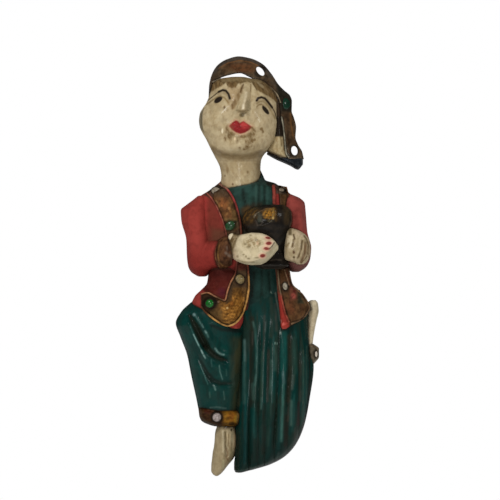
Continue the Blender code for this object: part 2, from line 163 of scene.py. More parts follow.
# The pleated skirt: papier-mache laid over carved pleats and painted teal. The valleys hold dark
# varnish and painted shade, and the ridges carry painted highlights. It is one with the figure, and
# its back is flat against the wall.
#
# ROUND and BOXY shape a section: 2 is an oval, and more is squarer. Bodies that start BEHIND the wall's
# plane are cut off flat there.
ROUND, BOXY = 2.2, 3.4
WELD = 0.000001
BEHIND = -3.0
GRIME_AND_SHADE = (26, 17, 10)
BARE_PAPER = (118, 96, 68)
BARE_FROM, BARE_TO = 5, 3.6
BACK_MOST, BACK_STEP = 1.3, 0.06
OCTAVES, WAVES, FADE, SPREAD = 3, 5, 1.6, 7
CLOUDS, FINE_CLOUDS, PORES = 130, 620, 1900
BUMP_HEIGHT = 0.0011
backs = []


def through(points, at):
    """The smooth curve through the points, read at shares of its length, with no overshoot."""
    points = np.asarray(points, float)
    ends = (points[:, :2] + points[:, 2:4]) / 2 if points.shape[1] > 3 else points[:, :2]
    gap = np.linalg.norm(np.diff(ends, axis=0), axis=1)
    reach = np.concatenate([[0], np.cumsum(gap)])
    rise = np.diff(points, axis=0) / gap[:, None]
    slope = np.concatenate([rise[:1], np.zeros_like(rise[1:]), rise[-1:]])
    before, after = rise[:-1], rise[1:]
    same = before * after > 0
    slope[1:-1][same] = 2 / (1 / before[same] + 1 / after[same])
    place = np.clip(np.asarray(at, float), 0, 1) * reach[-1]
    span = np.clip(np.searchsorted(reach, place, side="right") - 1, 0, len(gap) - 1)
    t = ((place - reach[span]) / gap[span])[:, None]
    width = gap[span][:, None]
    return (
        points[span] * (1 - t) ** 2 * (1 + 2 * t)
        + points[span + 1] * t**2 * (3 - 2 * t)
        + slope[span] * width * t * (1 - t) ** 2
        - slope[span + 1] * width * t**2 * (1 - t)
    )


def rows(*table):
    """Stations from level rows of (down, left, right, back, front)."""
    return [(left, down, right, down, back, front) for down, left, right, back, front in table]


def columns(*table):
    """Stations from upright columns of (across, top, bottom, back, front)."""
    return [(across, top, across, bottom, back, front) for across, top, bottom, back, front in table]


def body(stations, sides=120, step=1.0, front=ROUND, back=BOXY, lean=0.0, relief=None):
    """A closed form whose sections run between the two edge places of each station.

    Its back is flat, and a hair nearer the wall than that of the form before, so no two share a plane.
    """
    stations = np.asarray(stations, float)
    middles = (stations[:, :2] + stations[:, 2:4]) / 2
    length = np.linalg.norm(np.diff(middles, axis=0), axis=1).sum()
    rings = max(8, round(length / step)) + 2
    form = bmesh.new()
    bmesh.ops.create_grid(form, x_segments=sides, y_segments=rings, size=1)
    wrap = np.array([v.co for v in form.verts]) / 2 + 0.5
    turn = np.round(wrap[:, 0] * sides) % sides * math.tau / sides
    ring = np.round(wrap[:, 1] * rings)
    section = through(stations, (ring - 1) / (rings - 2))
    pole = (ring < 0.5) | (ring > rings - 0.5)
    power = np.where(np.sin(turn) > 0, front, back)
    u = np.sign(np.cos(turn)) * np.abs(np.cos(turn)) ** (2 / power) * ~pole
    v = np.sign(np.sin(turn)) * np.abs(np.sin(turn)) ** (2 / power) * ~pole
    place = (section[:, :2] + section[:, 2:4]) / 2 + u[:, None] * (section[:, 2:4] - section[:, :2]) / 2
    depth = (section[:, 4] + section[:, 5] + lean * u) / 2 + v * (section[:, 5] - section[:, 4]) / 2
    if relief:
        depth += relief(place[:, 0], place[:, 1]) * np.clip(2 * v, 0, 1)
    backs.append(form)
    depth = np.maximum(depth, max(0, BACK_MOST - BACK_STEP * len(backs)))
    for vert, co in zip(form.verts, world(np.column_stack([place, depth]))):
        vert.co = co
    bmesh.ops.remove_doubles(form, verts=form.verts, dist=WELD)
    bmesh.ops.recalc_face_normals(form, faces=form.faces)
    return form


def piece(name, form, stands_for="figure", sharp=50):
    """The finished object of a form. It rides on the only body and stands for a solid of the model."""
    mesh = bpy.data.meshes.new(name)
    form.to_mesh(mesh)
    form.free()
    mesh.shade_smooth()
    mesh.set_sharp_from_angle(angle=math.radians(sharp))
    made = bpy.data.objects.new(name, mesh)
    bpy.context.scene.collection.objects.link(made)
    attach(made, "root")
    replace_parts(made, stands_for)
    return made


def route_distance(across, down, route):
    """How far each place on the sheet is from a route drawn on it, in modules."""
    route = np.asarray(route, float)
    nearest = np.full(np.shape(across), np.inf)
    for start, end in zip(route, route[1:]):
        run = end - start
        share = ((across - start[0]) * run[0] + (down - start[1]) * run[1]) / (run @ run)
        share = np.clip(share, 0, 1)
        gap = np.hypot(across - start[0] - share * run[0], down - start[1] - share * run[1])
        nearest = np.minimum(nearest, gap)
    return nearest


def gap_inside(across, down, outline):
    """How far inside a closed outline each place is, in modules, and less than 0 outside it."""
    inside = np.zeros(len(across), bool)
    corners = [*outline, outline[0]]
    for (x0, y0), (x1, y1) in zip(corners, corners[1:]):
        crosses = (y0 > down) != (y1 > down)
        inside ^= crosses & (across < x0 + (down - y0) / ((y1 - y0) or 1) * (x1 - x0))
    gap = route_distance(across, down, corners)
    return np.where(inside, gap, -gap)


def near(across, down, route, width):
    """1 on a route, falling to 0 away from it."""
    return np.exp(-((route_distance(across, down, route) / width) ** 2))


def pigment(red, green, blue):
    """A paint colour as it looks, 0 to 255, in the renderer's own scale."""
    share = np.array([red, green, blue], float) / 255
    return np.where(share > 0.04045, ((share + 0.055) / 1.055) ** 2.4, share / 12.92)


def ease(value, low, high):
    """0 below low, 1 above high and smooth between; low may be the larger."""
    share = np.clip((value - low) / (high - low), 0, 1)
    return share * share * (3 - 2 * share)


def mottle(place, size, seed):
    """A soft random pattern from 0 to 1 over places in modules, with patches about this size."""
    chance = np.random.default_rng(seed)
    total = np.zeros(len(place))
    for octave in range(OCTAVES):
        for _ in range(WAVES):
            way = chance.normal(size=place.shape[1])
            way *= 2**octave * math.tau / (2 * size) / np.linalg.norm(way)
            total += np.sin(place @ way + chance.uniform(0, math.tau)) / FADE**octave
    return np.clip(0.5 + total / SPREAD, 0, 1)


class Coat:
    """The hand painting of one piece: a colour at each vertex, laid on by places on the sheet."""

    def __init__(self, made, *colour):
        self.made = made
        mesh = made.data
        place = np.empty(len(mesh.vertices) * 3)
        mesh.vertices.foreach_get("co", place)
        place = place.reshape(-1, 3) / MODULE
        normal = np.array([n.vector for n in mesh.vertex_normals])
        self.across = place[:, 0] + FIXING[0]
        self.down = FIXING[1] - place[:, 2]
        self.depth = -place[:, 1]
        self.facing = ease(-normal[:, 1], -0.05, 0.3)
        self.forward = ease(-normal[:, 1], -0.6, -0.2)
        self.place = np.column_stack([self.across, self.down, self.depth])
        self.colour = np.tile(pigment(*colour), (len(place), 1))

    def lay(self, mask, *colour):
        """Puts a colour on where the mask says, over what is there."""
        mask = np.clip(mask, 0, 1)[:, None]
        self.colour = self.colour * (1 - mask) + pigment(*colour) * mask

    def line(self, route, width, soft=0.7):
        """A brush line of this width on the side that faces the viewer."""
        gap = route_distance(self.across, self.down, route)
        return ease(gap, width / 2 + soft, width / 2 - soft) * self.facing

    def blob(self, across, down, wide, high, turn=0.0, soft=0.25):
        """An oval brush mark, turned clockwise by degrees, with a soft edge as a share of its size."""
        angle = math.radians(turn)
        x, y = self.across - across, self.down - down
        along = (x * math.cos(angle) + y * math.sin(angle)) / wide
        over = (y * math.cos(angle) - x * math.sin(angle)) / high
        return ease(np.hypot(along, over), 1 + soft, 1 - soft) * self.facing

    def strokes(self, *marks):
        """Brush lines, each with its route, width, softness, strength and colour, a little broken up."""
        broken = 0.7 + 0.3 * self.mottle(1.6, 97, 0.25, 0.6, 3)
        for route, width, soft, share, colour in marks:
            self.lay(self.line(route, width, soft) * share * broken, *colour)

    def dabs(self, *marks):
        """Oval brush marks, each with its place, size, turn, softness, strength and colour."""
        for across, down, wide, high, turn, soft, share, colour in marks:
            self.lay(self.blob(across, down, wide, high, turn, soft) * share, *colour)

    def within(self, outline, soft=0.8):
        """The inside of a closed outline drawn on the sheet, with a soft edge in modules."""
        return ease(gap_inside(self.across, self.down, outline), -soft, soft) * self.forward

    def mottle(self, size, seed, low=0.0, high=1.0, tall=1.0):
        """Random patches about this size, drawn out down the figure by the last share."""
        return ease(mottle(self.place / [1, tall, 1], size, seed), low, high)

    def finish(self, material):
        """Stores the colours on the mesh, and gives it its material."""
        mesh = self.made.data
        self.lay(ease(self.depth, BARE_FROM, BARE_TO) * (1 - self.forward) * 0.9, *BARE_PAPER)
        layer = mesh.attributes.new("paint", "FLOAT_COLOR", "POINT")
        layer.data.foreach_set("color", np.column_stack([self.colour, np.ones(len(self.colour))]).ravel())
        mesh.materials.append(material)


class Lead:
    """One value in a material, so that shader maths reads as plain sums."""

    def __init__(self, tree, socket=None):
        self.tree = tree
        self.socket = socket

    def node(self, kind, settings=None, sockets=None, out=0):
        """Any node: its settings are set first, and then its sockets' values or links."""
        made = self.tree.nodes.new(kind)
        for name, value in (settings or {}).items():
            setattr(made, name, value)
        for name, value in (sockets or {}).items():
            if isinstance(value, Lead):
                self.tree.links.new(value.socket, made.inputs[name])
            else:
                made.inputs[name].default_value = value
        return Lead(self.tree, made.outputs[out])

    def sum(self, operation, one, other):
        return self.node("ShaderNodeMath", {"operation": operation}, {0: one, 1: other})

    def __add__(self, other):
        return self.sum("ADD", self, other)

    def __sub__(self, other):
        return self.sum("SUBTRACT", self, other)

    def __rsub__(self, other):
        return self.sum("SUBTRACT", other, self)

    def __mul__(self, other):
        return self.sum("MULTIPLY", self, other)

    __radd__ = __add__
    __rmul__ = __mul__

    def between(self, low, high):
        """0 at low and 1 at high, held there beyond them."""
        return self.node("ShaderNodeMapRange", {"interpolation_type": "SMOOTHSTEP"},
                         {"Value": self, "From Min": low, "From Max": high})

    def tint(self, other, share, mode="MIX"):
        """This colour with another mixed in."""
        if not isinstance(other, Lead):
            other = (*pigment(*other), 1)
        return self.node("ShaderNodeMix", {"data_type": "RGBA", "blend_type": mode},
                         {0: share, 6: self, 7: other}, out=2)

    def noise(self, place, scale, detail, rough):
        return self.node("ShaderNodeTexNoise", None,
                         {"Vector": place, "Scale": scale, "Detail": detail, "Roughness": rough})

    def into(self, shader, name):
        self.tree.links.new(self.socket, shader.inputs[name])


def lacquer(name, cloudy=0.35, gloss=0.3, lumps=0.3, streak=(1, 1, 1), metal=0.0, ridge_wear_and_light=0.4, shine=0.12):
    """Brushed paint over papier-mache under old varnish: cloudy, with grime and painted shade in hollows,
    and rubbing and a painted highlight on ridges.
    """
    made = bpy.data.materials.new(name)
    made.use_nodes = True
    tree = made.node_tree
    shader = tree.nodes["Principled BSDF"]
    lead = Lead(tree)
    place = lead.node("ShaderNodeTexCoord", out="Object")
    brushed = lead.node("ShaderNodeMapping", None, {"Vector": place, "Scale": streak})
    paint = lead.node("ShaderNodeAttribute", {"attribute_name": "paint"}, out="Color")
    dirt_and_shade = lead.node("ShaderNodeAttribute", {"attribute_name": "dirt_and_shade"}, out="Fac")
    rubbed_and_lit = lead.node("ShaderNodeAttribute", {"attribute_name": "rubbed_and_lit"}, out="Fac")
    cloud = lead.noise(brushed, CLOUDS, 5, 0.62)
    fine = lead.noise(brushed, FINE_CLOUDS, 4, 0.6)
    pores = lead.noise(place, PORES, 2, 0.5)
    dark = cloud.between(0.42, 0.70) * cloudy + fine.between(0.5, 0.8) * (cloudy * 0.5)
    # Hollows and creases are darkened by grime and by painted shade.
    soiled_and_shaded = (dirt_and_shade * (0.35 + cloud * 1.2)).between(0.1, 1.05)
    # Ridges are lightened by rubbing and by a painted highlight.
    worn_and_lit = (rubbed_and_lit * (0.2 + fine * 1.5)).between(0.25, 1.0) * ridge_wear_and_light
    colour = (paint.tint((112, 100, 84), dark, "MULTIPLY").tint((92, 86, 74), worn_and_lit, "SCREEN")
              .tint(GRIME_AND_SHADE, soiled_and_shaded * 0.85))
    colour.into(shader, "Base Color")
    (gloss + fine * 0.14 + soiled_and_shaded * 0.2 + pores.between(0.45, 0.8) * 0.08).into(shader, "Roughness")
    if metal:
        (cloud.between(0.35, 0.65) * (1 - soiled_and_shaded) * metal).into(shader, "Metallic")
    height = cloud * 0.55 + fine * 0.35 + pores * 0.10
    lead.node("ShaderNodeBump", None, {"Height": height, "Strength": lumps, "Distance": BUMP_HEIGHT}
              ).into(shader, "Normal")
    shader.inputs["Specular IOR Level"].default_value = 0.06
    shader.inputs["Coat Weight"].default_value = shine
    shader.inputs["Coat Roughness"].default_value = 0.1
    return made


# Each ridge's place across where the pleats open, and near the hem; then the valleys' depths.
RIDGES = ((232, 231), (244.5, 244.5), (256, 254), (264, 261.5), (274, 269), (284, 281.5), (295, 293),
          (305, 303), (315, 312))
VALLEY_DEPTHS = (4.4, 3.8, 2.4, 2.4, 3.4, 3.0, 2.4, 1.8)
PLEATS_OPEN, PLEATS_LOW = 340, 430


def pleat_at(across, down):
    """The pleat count at a place: whole numbers on ridges, halves in valleys."""
    level = np.clip((down - PLEATS_OPEN) / (PLEATS_LOW - PLEATS_OPEN), -0.2, 1.2)
    ridges = [top + (low - top) * level + 0.6 * np.sin(down / 21 + 1.9 * index)
              for index, (top, low) in enumerate(RIDGES)]
    return sum(np.clip((across - left) / (right - left), 0, 1) for left, right in zip(ridges, ridges[1:]))


def pleats(across, down):
    """Round ridges and narrow valleys of uneven depth, which open below the waist."""
    count = pleat_at(across, down)
    depth = np.interp(count, np.arange(len(VALLEY_DEPTHS)) + 0.5, VALLEY_DEPTHS)
    depth = depth * (0.8 + 0.3 * np.sin(down / 27 + 2.4 * count))
    return ease(down, 314, 352) * depth * (np.abs(np.cos(math.pi * count)) - 0.75)


SKIRT_ROWS = rows(
    (290, 222, 300, BEHIND, 46), (310, 228, 307.6, BEHIND, 50), (335, 236, 308.6, BEHIND, 52),
    (352, 237, 310, BEHIND, 53), (366, 238, 313.8, BEHIND, 54), (400, 236.4, 309.5, BEHIND, 55),
    (423, 234.6, 305, BEHIND, 54), (441, 235.4, 298, BEHIND, 52), (455, 235, 287, BEHIND, 50),
    (464, 234, 272, BEHIND, 47),
    (469.4, 234, 255, BEHIND, 43), (472.4, 235, 243, BEHIND, 38))
TEAL = (2, 46, 42)
TEAL_RIDGE_HIGHLIGHT = (34, 78, 73)
VALLEY_SHADE_AND_GRIME = (20, 22, 16)
teal_lacquer = lacquer("teal_lacquer", streak=(1, 1, 0.22), ridge_wear_and_light=0.15, shine=0.1)

skirt = piece("skirt", body(SKIRT_ROWS, sides=380, step=1.1, relief=pleats))
coat = Coat(skirt, *TEAL)
crest = np.abs(np.cos(math.pi * pleat_at(coat.across, coat.down))) * coat.facing
pleated = ease(coat.down, 318, 342) * coat.facing
# The crests' lighter teal is a painted highlight; the valleys get painted shade with dark varnish.
coat.lay(ease(crest, 0.8, 1.0) * pleated * coat.mottle(5, 1, 0.3, 0.7, 4) * 0.4, *TEAL_RIDGE_HIGHLIGHT)
coat.lay(coat.mottle(6, 7, 0.45, 0.75, 6) * coat.facing * 0.55, 36, 46, 36)
coat.lay(coat.mottle(1.5, 6, 0.5, 0.8, 16) * coat.facing * 0.4, 26, 36, 28)
coat.lay(ease(crest, 0.5, 0.05) * pleated * (0.4 + 0.3 * coat.mottle(7, 8, 0.3, 0.7, 3)), *VALLEY_SHADE_AND_GRIME)
coat.lay(ease(coat.down, 400, 462) * 0.7, 0, 25, 20)
coat.lay(ease(coat.down, 312, 296) * coat.facing * 0.4, 26, 38, 32)
# Brush strokes: dark ones are painted shade and dark varnish in the valleys, among other teals.
coat.strokes(
    ([(252, 318), (252.4, 340), (251.6, 372), (251.4, 405)], 4, 1.4, 0.75, (34, 34, 26)),
    ([(252.6, 332), (252.4, 344)], 1.2, 0.9, 0.43, (76, 66, 60)),
    ([(258.6, 336), (258.8, 372), (257.6, 400)], 2.4, 1, 0.7, (8, 42, 38)),
    ([(264.4, 316), (264, 340), (262.8, 360)], 2.2, 1, 0.6, (58, 54, 48)),
    ([(266.6, 324), (266.4, 352)], 2.4, 1, 0.7, (4, 40, 36)),
    ([(268.6, 350), (267.6, 400)], 2.6, 1.2, 0.6, (50, 48, 42)),
    ([(271, 298), (272, 320), (271, 336)], 3.2, 1.4, 0.55, (46, 52, 42)),
    ([(275.4, 304), (276, 330)], 2.4, 1.2, 0.5, (62, 60, 54)),
    ([(278.6, 334), (278.6, 372)], 2, 1, 0.6, (14, 32, 28)),
    ([(283.6, 334), (283.6, 368)], 6, 1.4, 0.7, (16, 70, 64)),
    ([(289, 336), (289.6, 368), (288, 400)], 4, 1.4, 0.75, (42, 42, 32)),
    ([(295, 338), (295, 372)], 4, 1.6, 0.5, (34, 66, 58)),
    ([(300.6, 352), (300, 400)], 3, 1.4, 0.6, (52, 52, 44)),
    ([(311, 372), (308.6, 398)], 3, 1.2, 0.6, (20, 24, 20)),
    ([(237.6, 338), (237.8, 404)], 4.5, 1.6, 0.65, (54, 54, 36)),
    ([(241, 332), (241.2, 400)], 2, 0.9, 0.75, (18, 28, 22)),
    ([(248.6, 404), (249, 462)], 3.2, 1.2, 0.7, (14, 26, 20)),
    ([(263.6, 404), (263.4, 452)], 3.6, 1.3, 0.7, (26, 32, 24)),
    ([(257.6, 438), (257, 460)], 3, 1.2, 0.6, (18, 28, 22)),
    ([(272.8, 404), (273.4, 446)], 3.2, 1.3, 0.65, (24, 30, 24)),
    ([(286.4, 416), (285.4, 444)], 4, 1.4, 0.8, (24, 22, 14)),
    ([(289, 400), (287.6, 420)], 2.4, 1, 0.5, (48, 46, 36)),
    ([(298.6, 402), (298, 424)], 2.6, 1.2, 0.75, (38, 26, 24)),
    ([(294.8, 428), (294.6, 438)], 1.4, 0.8, 0.5, (58, 52, 48)),
    ([(244.6, 404), (245, 440), (244.6, 462)], 3.2, 1.4, 0.6, (8, 50, 50)),
    ([(254, 404), (254.6, 436)], 2.6, 1.2, 0.6, (12, 58, 54)),
    ([(268, 404), (268, 444)], 2.8, 1.3, 0.5, (30, 54, 44)),
    ([(279, 404), (278.6, 448)], 2.4, 1.1, 0.6, (4, 46, 44)),
    ([(293.4, 402), (293, 430)], 3.4, 1.4, 0.6, (22, 56, 50)),
    ([(303.6, 402), (302.6, 418)], 2.6, 1.2, 0.5, (34, 58, 50)),
    # Painted highlights: glints along the ridges; the last stroke is the sash's pale edge.
    ([(244.6, 340), (244.9, 360)], 2.0, 1.3, 0.55, (96, 128, 124)),
    ([(244.4, 362), (244.2, 380), (244.2, 402)], 3.1, 1.7, 0.36, (66, 98, 92)),
    ([(253, 322), (255, 330), (256.4, 345), (256.6, 370), (255, 384)], 1.9, 1.3, 0.42, (74, 112, 104)),
    ([(252.8, 384), (253.6, 398)], 3.4, 1.5, 0.36, (62, 92, 84)),
    ([(262.2, 352), (261.6, 400)], 2.4, 1, 0.5, (50, 72, 60)),
    ([(261.2, 397), (260.8, 408)], 1.4, 0.8, 0.43, (80, 110, 100)),
    ([(265.6, 322), (265.2, 331)], 1.2, 0.8, 0.43, (76, 94, 90)),
    ([(271.2, 360), (270.4, 392)], 2.2, 1.5, 0.38, (72, 98, 88)),
    ([(274.6, 346), (274.6, 368)], 4.3, 2.4, 0.36, (62, 86, 78)),
    ([(282.8, 372), (283.8, 382)], 2.6, 1.4, 0.43, (84, 114, 112)),
    ([(283.2, 384), (282.8, 402), (281.8, 424), (281.2, 440)], 2.2, 1.5, 0.5, (70, 116, 106)),
    ([(292.8, 375), (292.2, 388)], 2.2, 1.4, 0.4, (82, 98, 92)),
    ([(291.2, 400), (290.8, 424)], 2.0, 1.4, 0.42, (74, 102, 92)),
    ([(303.2, 350), (302.8, 402)], 1.1, 0.8, 0.4, (74, 92, 78)),
    ([(306.6, 346), (306.2, 402)], 1.1, 0.8, 0.36, (68, 92, 82)),
    ([(302.8, 402), (301.6, 424)], 1.7, 1, 0.29, (62, 80, 70)),
    ([(278.6, 452), (276.4, 459)], 1.9, 1.2, 0.36, (66, 80, 76)),
    ([(275, 291), (276, 297), (277.5, 304), (279, 312), (280, 320)], 1.6, 0.9, 0.58, (92, 102, 94)))
# Painted highlights: small white glints.
coat.dabs((280.4, 332.6, 0.8, 1.4, 0, 0.5, 0.9, (110, 124, 116)),
          (275, 342.6, 0.8, 1.2, 0, 0.5, 0.7, (104, 132, 122)),
          (277, 343, 0.6, 0.8, 0, 0.5, 0.6, (104, 132, 122)),
          (272, 292, 1.6, 1, 0, 0.5, 0.8, (112, 134, 122)))
hem = [(row[2], row[1]) for row in SKIRT_ROWS[5:]]
coat.lay(coat.line(hem, 2.6, 0.8) * 0.85, 12, 14, 12)
coat.lay(coat.line([(x - 2.4, y - 2.4) for x, y in hem[1:]], 1.2, 0.6) * 0.5, 50, 66, 58)
coat.finish(teal_lacquer)

# The bent leg in the same teal cloth: the knee is pushed out to the side, and the cloth under it
# falls in deep slanting folds. It is papier-mache, moulded and painted with the skirt.
LEG_ROWS = rows(
    (296, 200, 238, BEHIND, 44), (304, 189, 244, BEHIND, 50), (312, 181, 246, BEHIND, 54),
    (323, 175.7, 247, BEHIND, 56), (336, 180, 247, BEHIND, 54), (355, 187, 246, BEHIND, 51),
    (375, 191, 245, BEHIND, 47), (398, 196, 242, BEHIND, 43), (412, 199, 240, BEHIND, 41),
    (420, 203, 237, BEHIND, 38))
DEEP_FOLD = [(190.5, 316), (195, 325), (200, 335), (205.5, 346)]
DEEP_FOLD_END = [(205.5, 346), (211, 352.5), (217, 357), (226, 360)]
LOWER_FOLD = [(199.5, 358), (204, 367), (209, 375), (215, 381), (222, 383), (231, 383)]
UPPER_BANK = [(195, 313.5), (203.5, 327), (211, 340), (218, 350), (226, 354)]
LOWER_BANK = [(189.5, 323), (195, 337), (201.5, 350), (207, 359), (214, 366), (224, 371)]


def leg_folds(across, down):
    return (
        -5.5 * near(across, down, DEEP_FOLD, 3.4)
        - 3.0 * near(across, down, DEEP_FOLD_END, 2.6)
        - 2.4 * near(across, down, LOWER_FOLD, 2.6)
        + 1.8 * near(across, down, UPPER_BANK, 4.0)
        + 2.0 * near(across, down, LOWER_BANK, 4.0)
    )


bent_leg = piece("bent_leg", body(LEG_ROWS, sides=270, step=0.9, relief=leg_folds))
coat = Coat(bent_leg, *TEAL)
coat.lay(coat.mottle(12, 3, 0.4, 0.8) * 0.5, 8, 56, 50)
coat.lay(coat.mottle(5, 7, 0.5, 0.8, 2) * 0.4, 22, 46, 40)
# Painted shade in the grooves of the deep fold and the lower fold.
coat.lay(coat.within([(188.5, 315), (191.5, 314.5), (199, 324.5), (205.5, 336), (211, 347), (217, 353.5),
                      (228, 359.6), (221, 361), (212, 357), (205, 350), (198.5, 340),
                      (192.5, 327)], 1.3) * 0.85,
         30, 32, 23)
coat.lay(coat.within([(199.5, 357), (203.5, 362), (208.5, 371), (214.5, 378), (222, 381.4), (232, 382),
                      (230, 384.4), (219, 385), (209.5, 381), (203.5, 372),
                      (199.6, 363)], 1.2) * 0.65, *VALLEY_SHADE_AND_GRIME)
coat.lay(ease(coat.across, 227, 237) * ease(coat.down, 333, 340) * coat.facing
         * (0.6 + 0.35 * coat.mottle(6, 6, 0.3, 0.7, 3)), 50, 52, 34)
coat.lay(coat.line([(241.4, 334), (241.6, 404)], 1.8, 0.9) * 0.7, 16, 24, 16)
# Painted shadow under the jacket's tail.
coat.lay(coat.line([(212, 325), (222, 329), (242, 331)], 3.4, 1.6) * 0.85, 14, 24, 20)
# Painted highlights: glints along the banks of the folds, and one more in the dab below.
coat.strokes(
    ([(190.5, 325), (193.8, 334)], 1, 0.5, 0.6, (50, 88, 84)),
    ([(193.8, 334), (196.6, 340), (199, 345)], 1, 0.5, 0.85, (124, 160, 154)),
    ([(199, 345), (201.6, 350)], 0.9, 0.5, 0.6, (90, 124, 118)),
    ([(201.6, 350), (203, 353)], 1.3, 0.5, 0.85, (130, 158, 152)),
    ([(203.8, 354.6), (205.6, 357.6)], 1.2, 0.5, 0.8, (124, 156, 150)),
    ([(196, 316), (199, 320), (203.6, 327)], 1.2, 0.6, 0.8, (84, 118, 113)),
    ([(205.4, 330.6), (206.6, 332.4)], 1.6, 0.6, 0.8, (108, 142, 135)),
    ([(207.6, 334), (208.6, 336.6)], 1.4, 0.7, 0.6, (70, 105, 98)),
    ([(215.4, 348), (218, 351.6), (221, 353.6), (224, 354.2)], 1.6, 0.6, 0.85, (102, 136, 130)),
    ([(200.5, 364), (203, 371), (206, 379), (208, 383.6)], 1, 0.6, 0.7, (58, 98, 92)),
    ([(211.4, 359), (212, 366)], 1, 0.6, 0.5, (60, 95, 90)),
    ([(219.4, 365), (220, 371), (221.6, 376), (222.6, 379)], 1.1, 0.5, 0.7, (82, 116, 109)),
    ([(213.8, 385), (215.6, 389.4)], 1.5, 0.6, 0.8, (88, 118, 110)),
    ([(226.4, 369), (226.6, 375)], 1.2, 0.8, 0.5, (54, 88, 80)),
    ([(223.6, 391), (224.6, 399)], 1.1, 0.6, 0.6, (64, 94, 86)),
    ([(209.6, 392), (210, 397)], 1.4, 0.8, 0.5, (56, 88, 80)),
    ([(210, 407.4), (217, 406.6), (226, 408)], 1.4, 0.6, 0.6, (66, 90, 84)))
coat.dabs((194.4, 314.4, 1.6, 1.3, 40, 0.5, 0.8, (112, 140, 138)))
coat.finish(teal_lacquer)

# The chest: a teal shirt under a red jacket that hangs open. The jacket is a thicker layer of
# papier-mache, so its open front edges stand a little above the shirt.
CHEST_ROWS = rows(
    (170, 244, 260.5, 4, 36), (175, 232, 263, BEHIND, 40), (180, 222, 265.5, BEHIND, 44),
    (183, 218.5, 275, BEHIND, 46), (187, 213.5, 281, BEHIND, 48), (191, 208, 287, BEHIND, 49),
    (198, 198, 294, BEHIND, 50.5), (215, 192, 296, BEHIND, 53.5), (246, 194, 294, BEHIND, 54),
    (275, 209, 288, BEHIND, 51), (300, 212, 296, BEHIND, 50), (318, 220, 296, BEHIND, 44))
OPEN_LEFT = [(220, 182), (229, 192), (236, 206), (240.5, 226), (243, 245), (248, 262), (250, 290),
             (247, 318)]
OPEN_RIGHT = [(270, 180), (273, 188), (273, 206), (274, 245), (276, 266), (278, 290), (282, 312)]
RED = (142, 52, 46)
RED_IN_SHADOW = (72, 22, 15)


def open_front(across, down):
    """1 between the jacket's two front edges, where the shirt shows, and 0 on the jacket."""
    left = np.interp(down, *np.array(OPEN_LEFT)[:, ::-1].T)
    right = np.interp(down, *np.array(OPEN_RIGHT)[:, ::-1].T)
    return ease(across, left - 1, left + 1) * ease(across, right + 1, right - 1)


NECKLINE = [(226, 188.5), (233, 187), (240, 185.6), (248, 184.2), (256, 182), (260.5, 177.5), (262, 170)]
SHIRT_FOLDS = (([(243, 190), (246, 206)], 1.0), ([(259.5, 186), (259, 208)], 1.3),
               ([(264.5, 186), (265, 206)], 1.1),
               ([(254, 272), (252, 296)], 1.3), ([(262, 270), (262, 300)], 1.2),
               ([(269, 272), (271, 300)], 1.2))


def shirt_relief(across, down):
    """The shirt lies lower than the jacket, with a few folds, and stops at its neckline."""
    neckline = np.interp(across, *np.array(NECKLINE).T)
    folds = sum(1.3 * near(across, down, route, width) for route, width in SHIRT_FOLDS)
    return -(1.6 + folds) * open_front(across, down) - 9 * ease(down, neckline + 0.5, neckline - 0.7)


chest = piece("chest", body(CHEST_ROWS, sides=260, relief=shirt_relief))
coat = Coat(chest, *RED)
# Painted shadow: below the forearm the jacket is darker.
coat.lay(ease(coat.down, 262, 272) * 0.9, *RED_IN_SHADOW)
coat.lay(coat.within([(208, 196), (214, 200), (222, 222), (230, 246), (206, 248)], 3) * 0.8, 98, 42, 32)
coat.lay(coat.within([(210, 226), (226, 232), (230, 246), (208, 246)], 4) * 0.6, 84, 44, 32)
coat.lay(coat.within([(203, 195), (210, 188), (219, 182), (219, 197), (210, 198)], 0.8) * 0.9, 76, 58, 46)
coat.lay(coat.within([(213, 230), (229, 230), (230, 244), (212, 244)], 3) * 0.7, 90, 54, 38)
coat.lay(coat.within([(273, 183), (285, 185), (291, 194), (276, 194)], 1) * 0.9, 80, 70, 60)
coat.lay(ease(coat.down, 262, 272) * coat.mottle(5, 19, 0.4, 0.7) * 0.5, 84, 34, 26)
coat.lay(coat.within([(203, 284), (216, 286), (214, 296), (200, 292)], 3) * 0.7, 58, 36, 24)
shirt = open_front(coat.across, coat.down) * coat.facing
coat.lay(shirt, 38, 64, 58)
coat.lay(shirt * coat.mottle(10, 5, 0.4, 0.8) * 0.7, 28, 46, 39)
# Painted shade on the shirt under the hands and the pot.
coat.lay(shirt * ease(coat.down, 235, 268) * 0.5, 16, 44, 40)
coat.lay(shirt * ease(coat.across, 262, 248) * ease(coat.down, 255, 268) * 0.85, 14, 26, 24)
coat.lay(ease(coat.down, 186, 183) * ease(coat.across, 258, 262), 42, 58, 52)
coat.lay(coat.blob(271, 184, 5, 2.6, 8), 34, 34, 28)
# Painted shade on the shirt beside the pot.
coat.lay(shirt * coat.within([(240, 209), (249, 203), (262, 203), (262, 236), (240, 236)], 2.4) * 0.8,
         46, 34, 22)
coat.lay(shirt * coat.blob(247, 210.6, 4.6, 4, 0, 0.7) * 0.6, 84, 60, 28)
# Painted shade in the shirt's folds; the lighter strokes beside them are painted highlights.
for route, width in SHIRT_FOLDS:
    coat.lay(coat.line(route, width * 2, 1.4) * 0.5, 22, 28, 22)
coat.strokes(([(243, 190), (243.6, 206)], 3, 1.6, 0.5, (22, 30, 26)),
             ([(256, 186), (256, 206)], 2.2, 1, 0.4, (58, 84, 76)),
             ([(267.4, 188), (267.4, 206)], 2.4, 1, 0.6, (48, 78, 70)),
             ([(249, 192), (250, 204)], 3.4, 1.6, 0.5, (40, 72, 64)))
red_lacquer = lacquer("red_lacquer", cloudy=0.3, gloss=0.6, ridge_wear_and_light=0.15, shine=0)
coat.finish(red_lacquer)

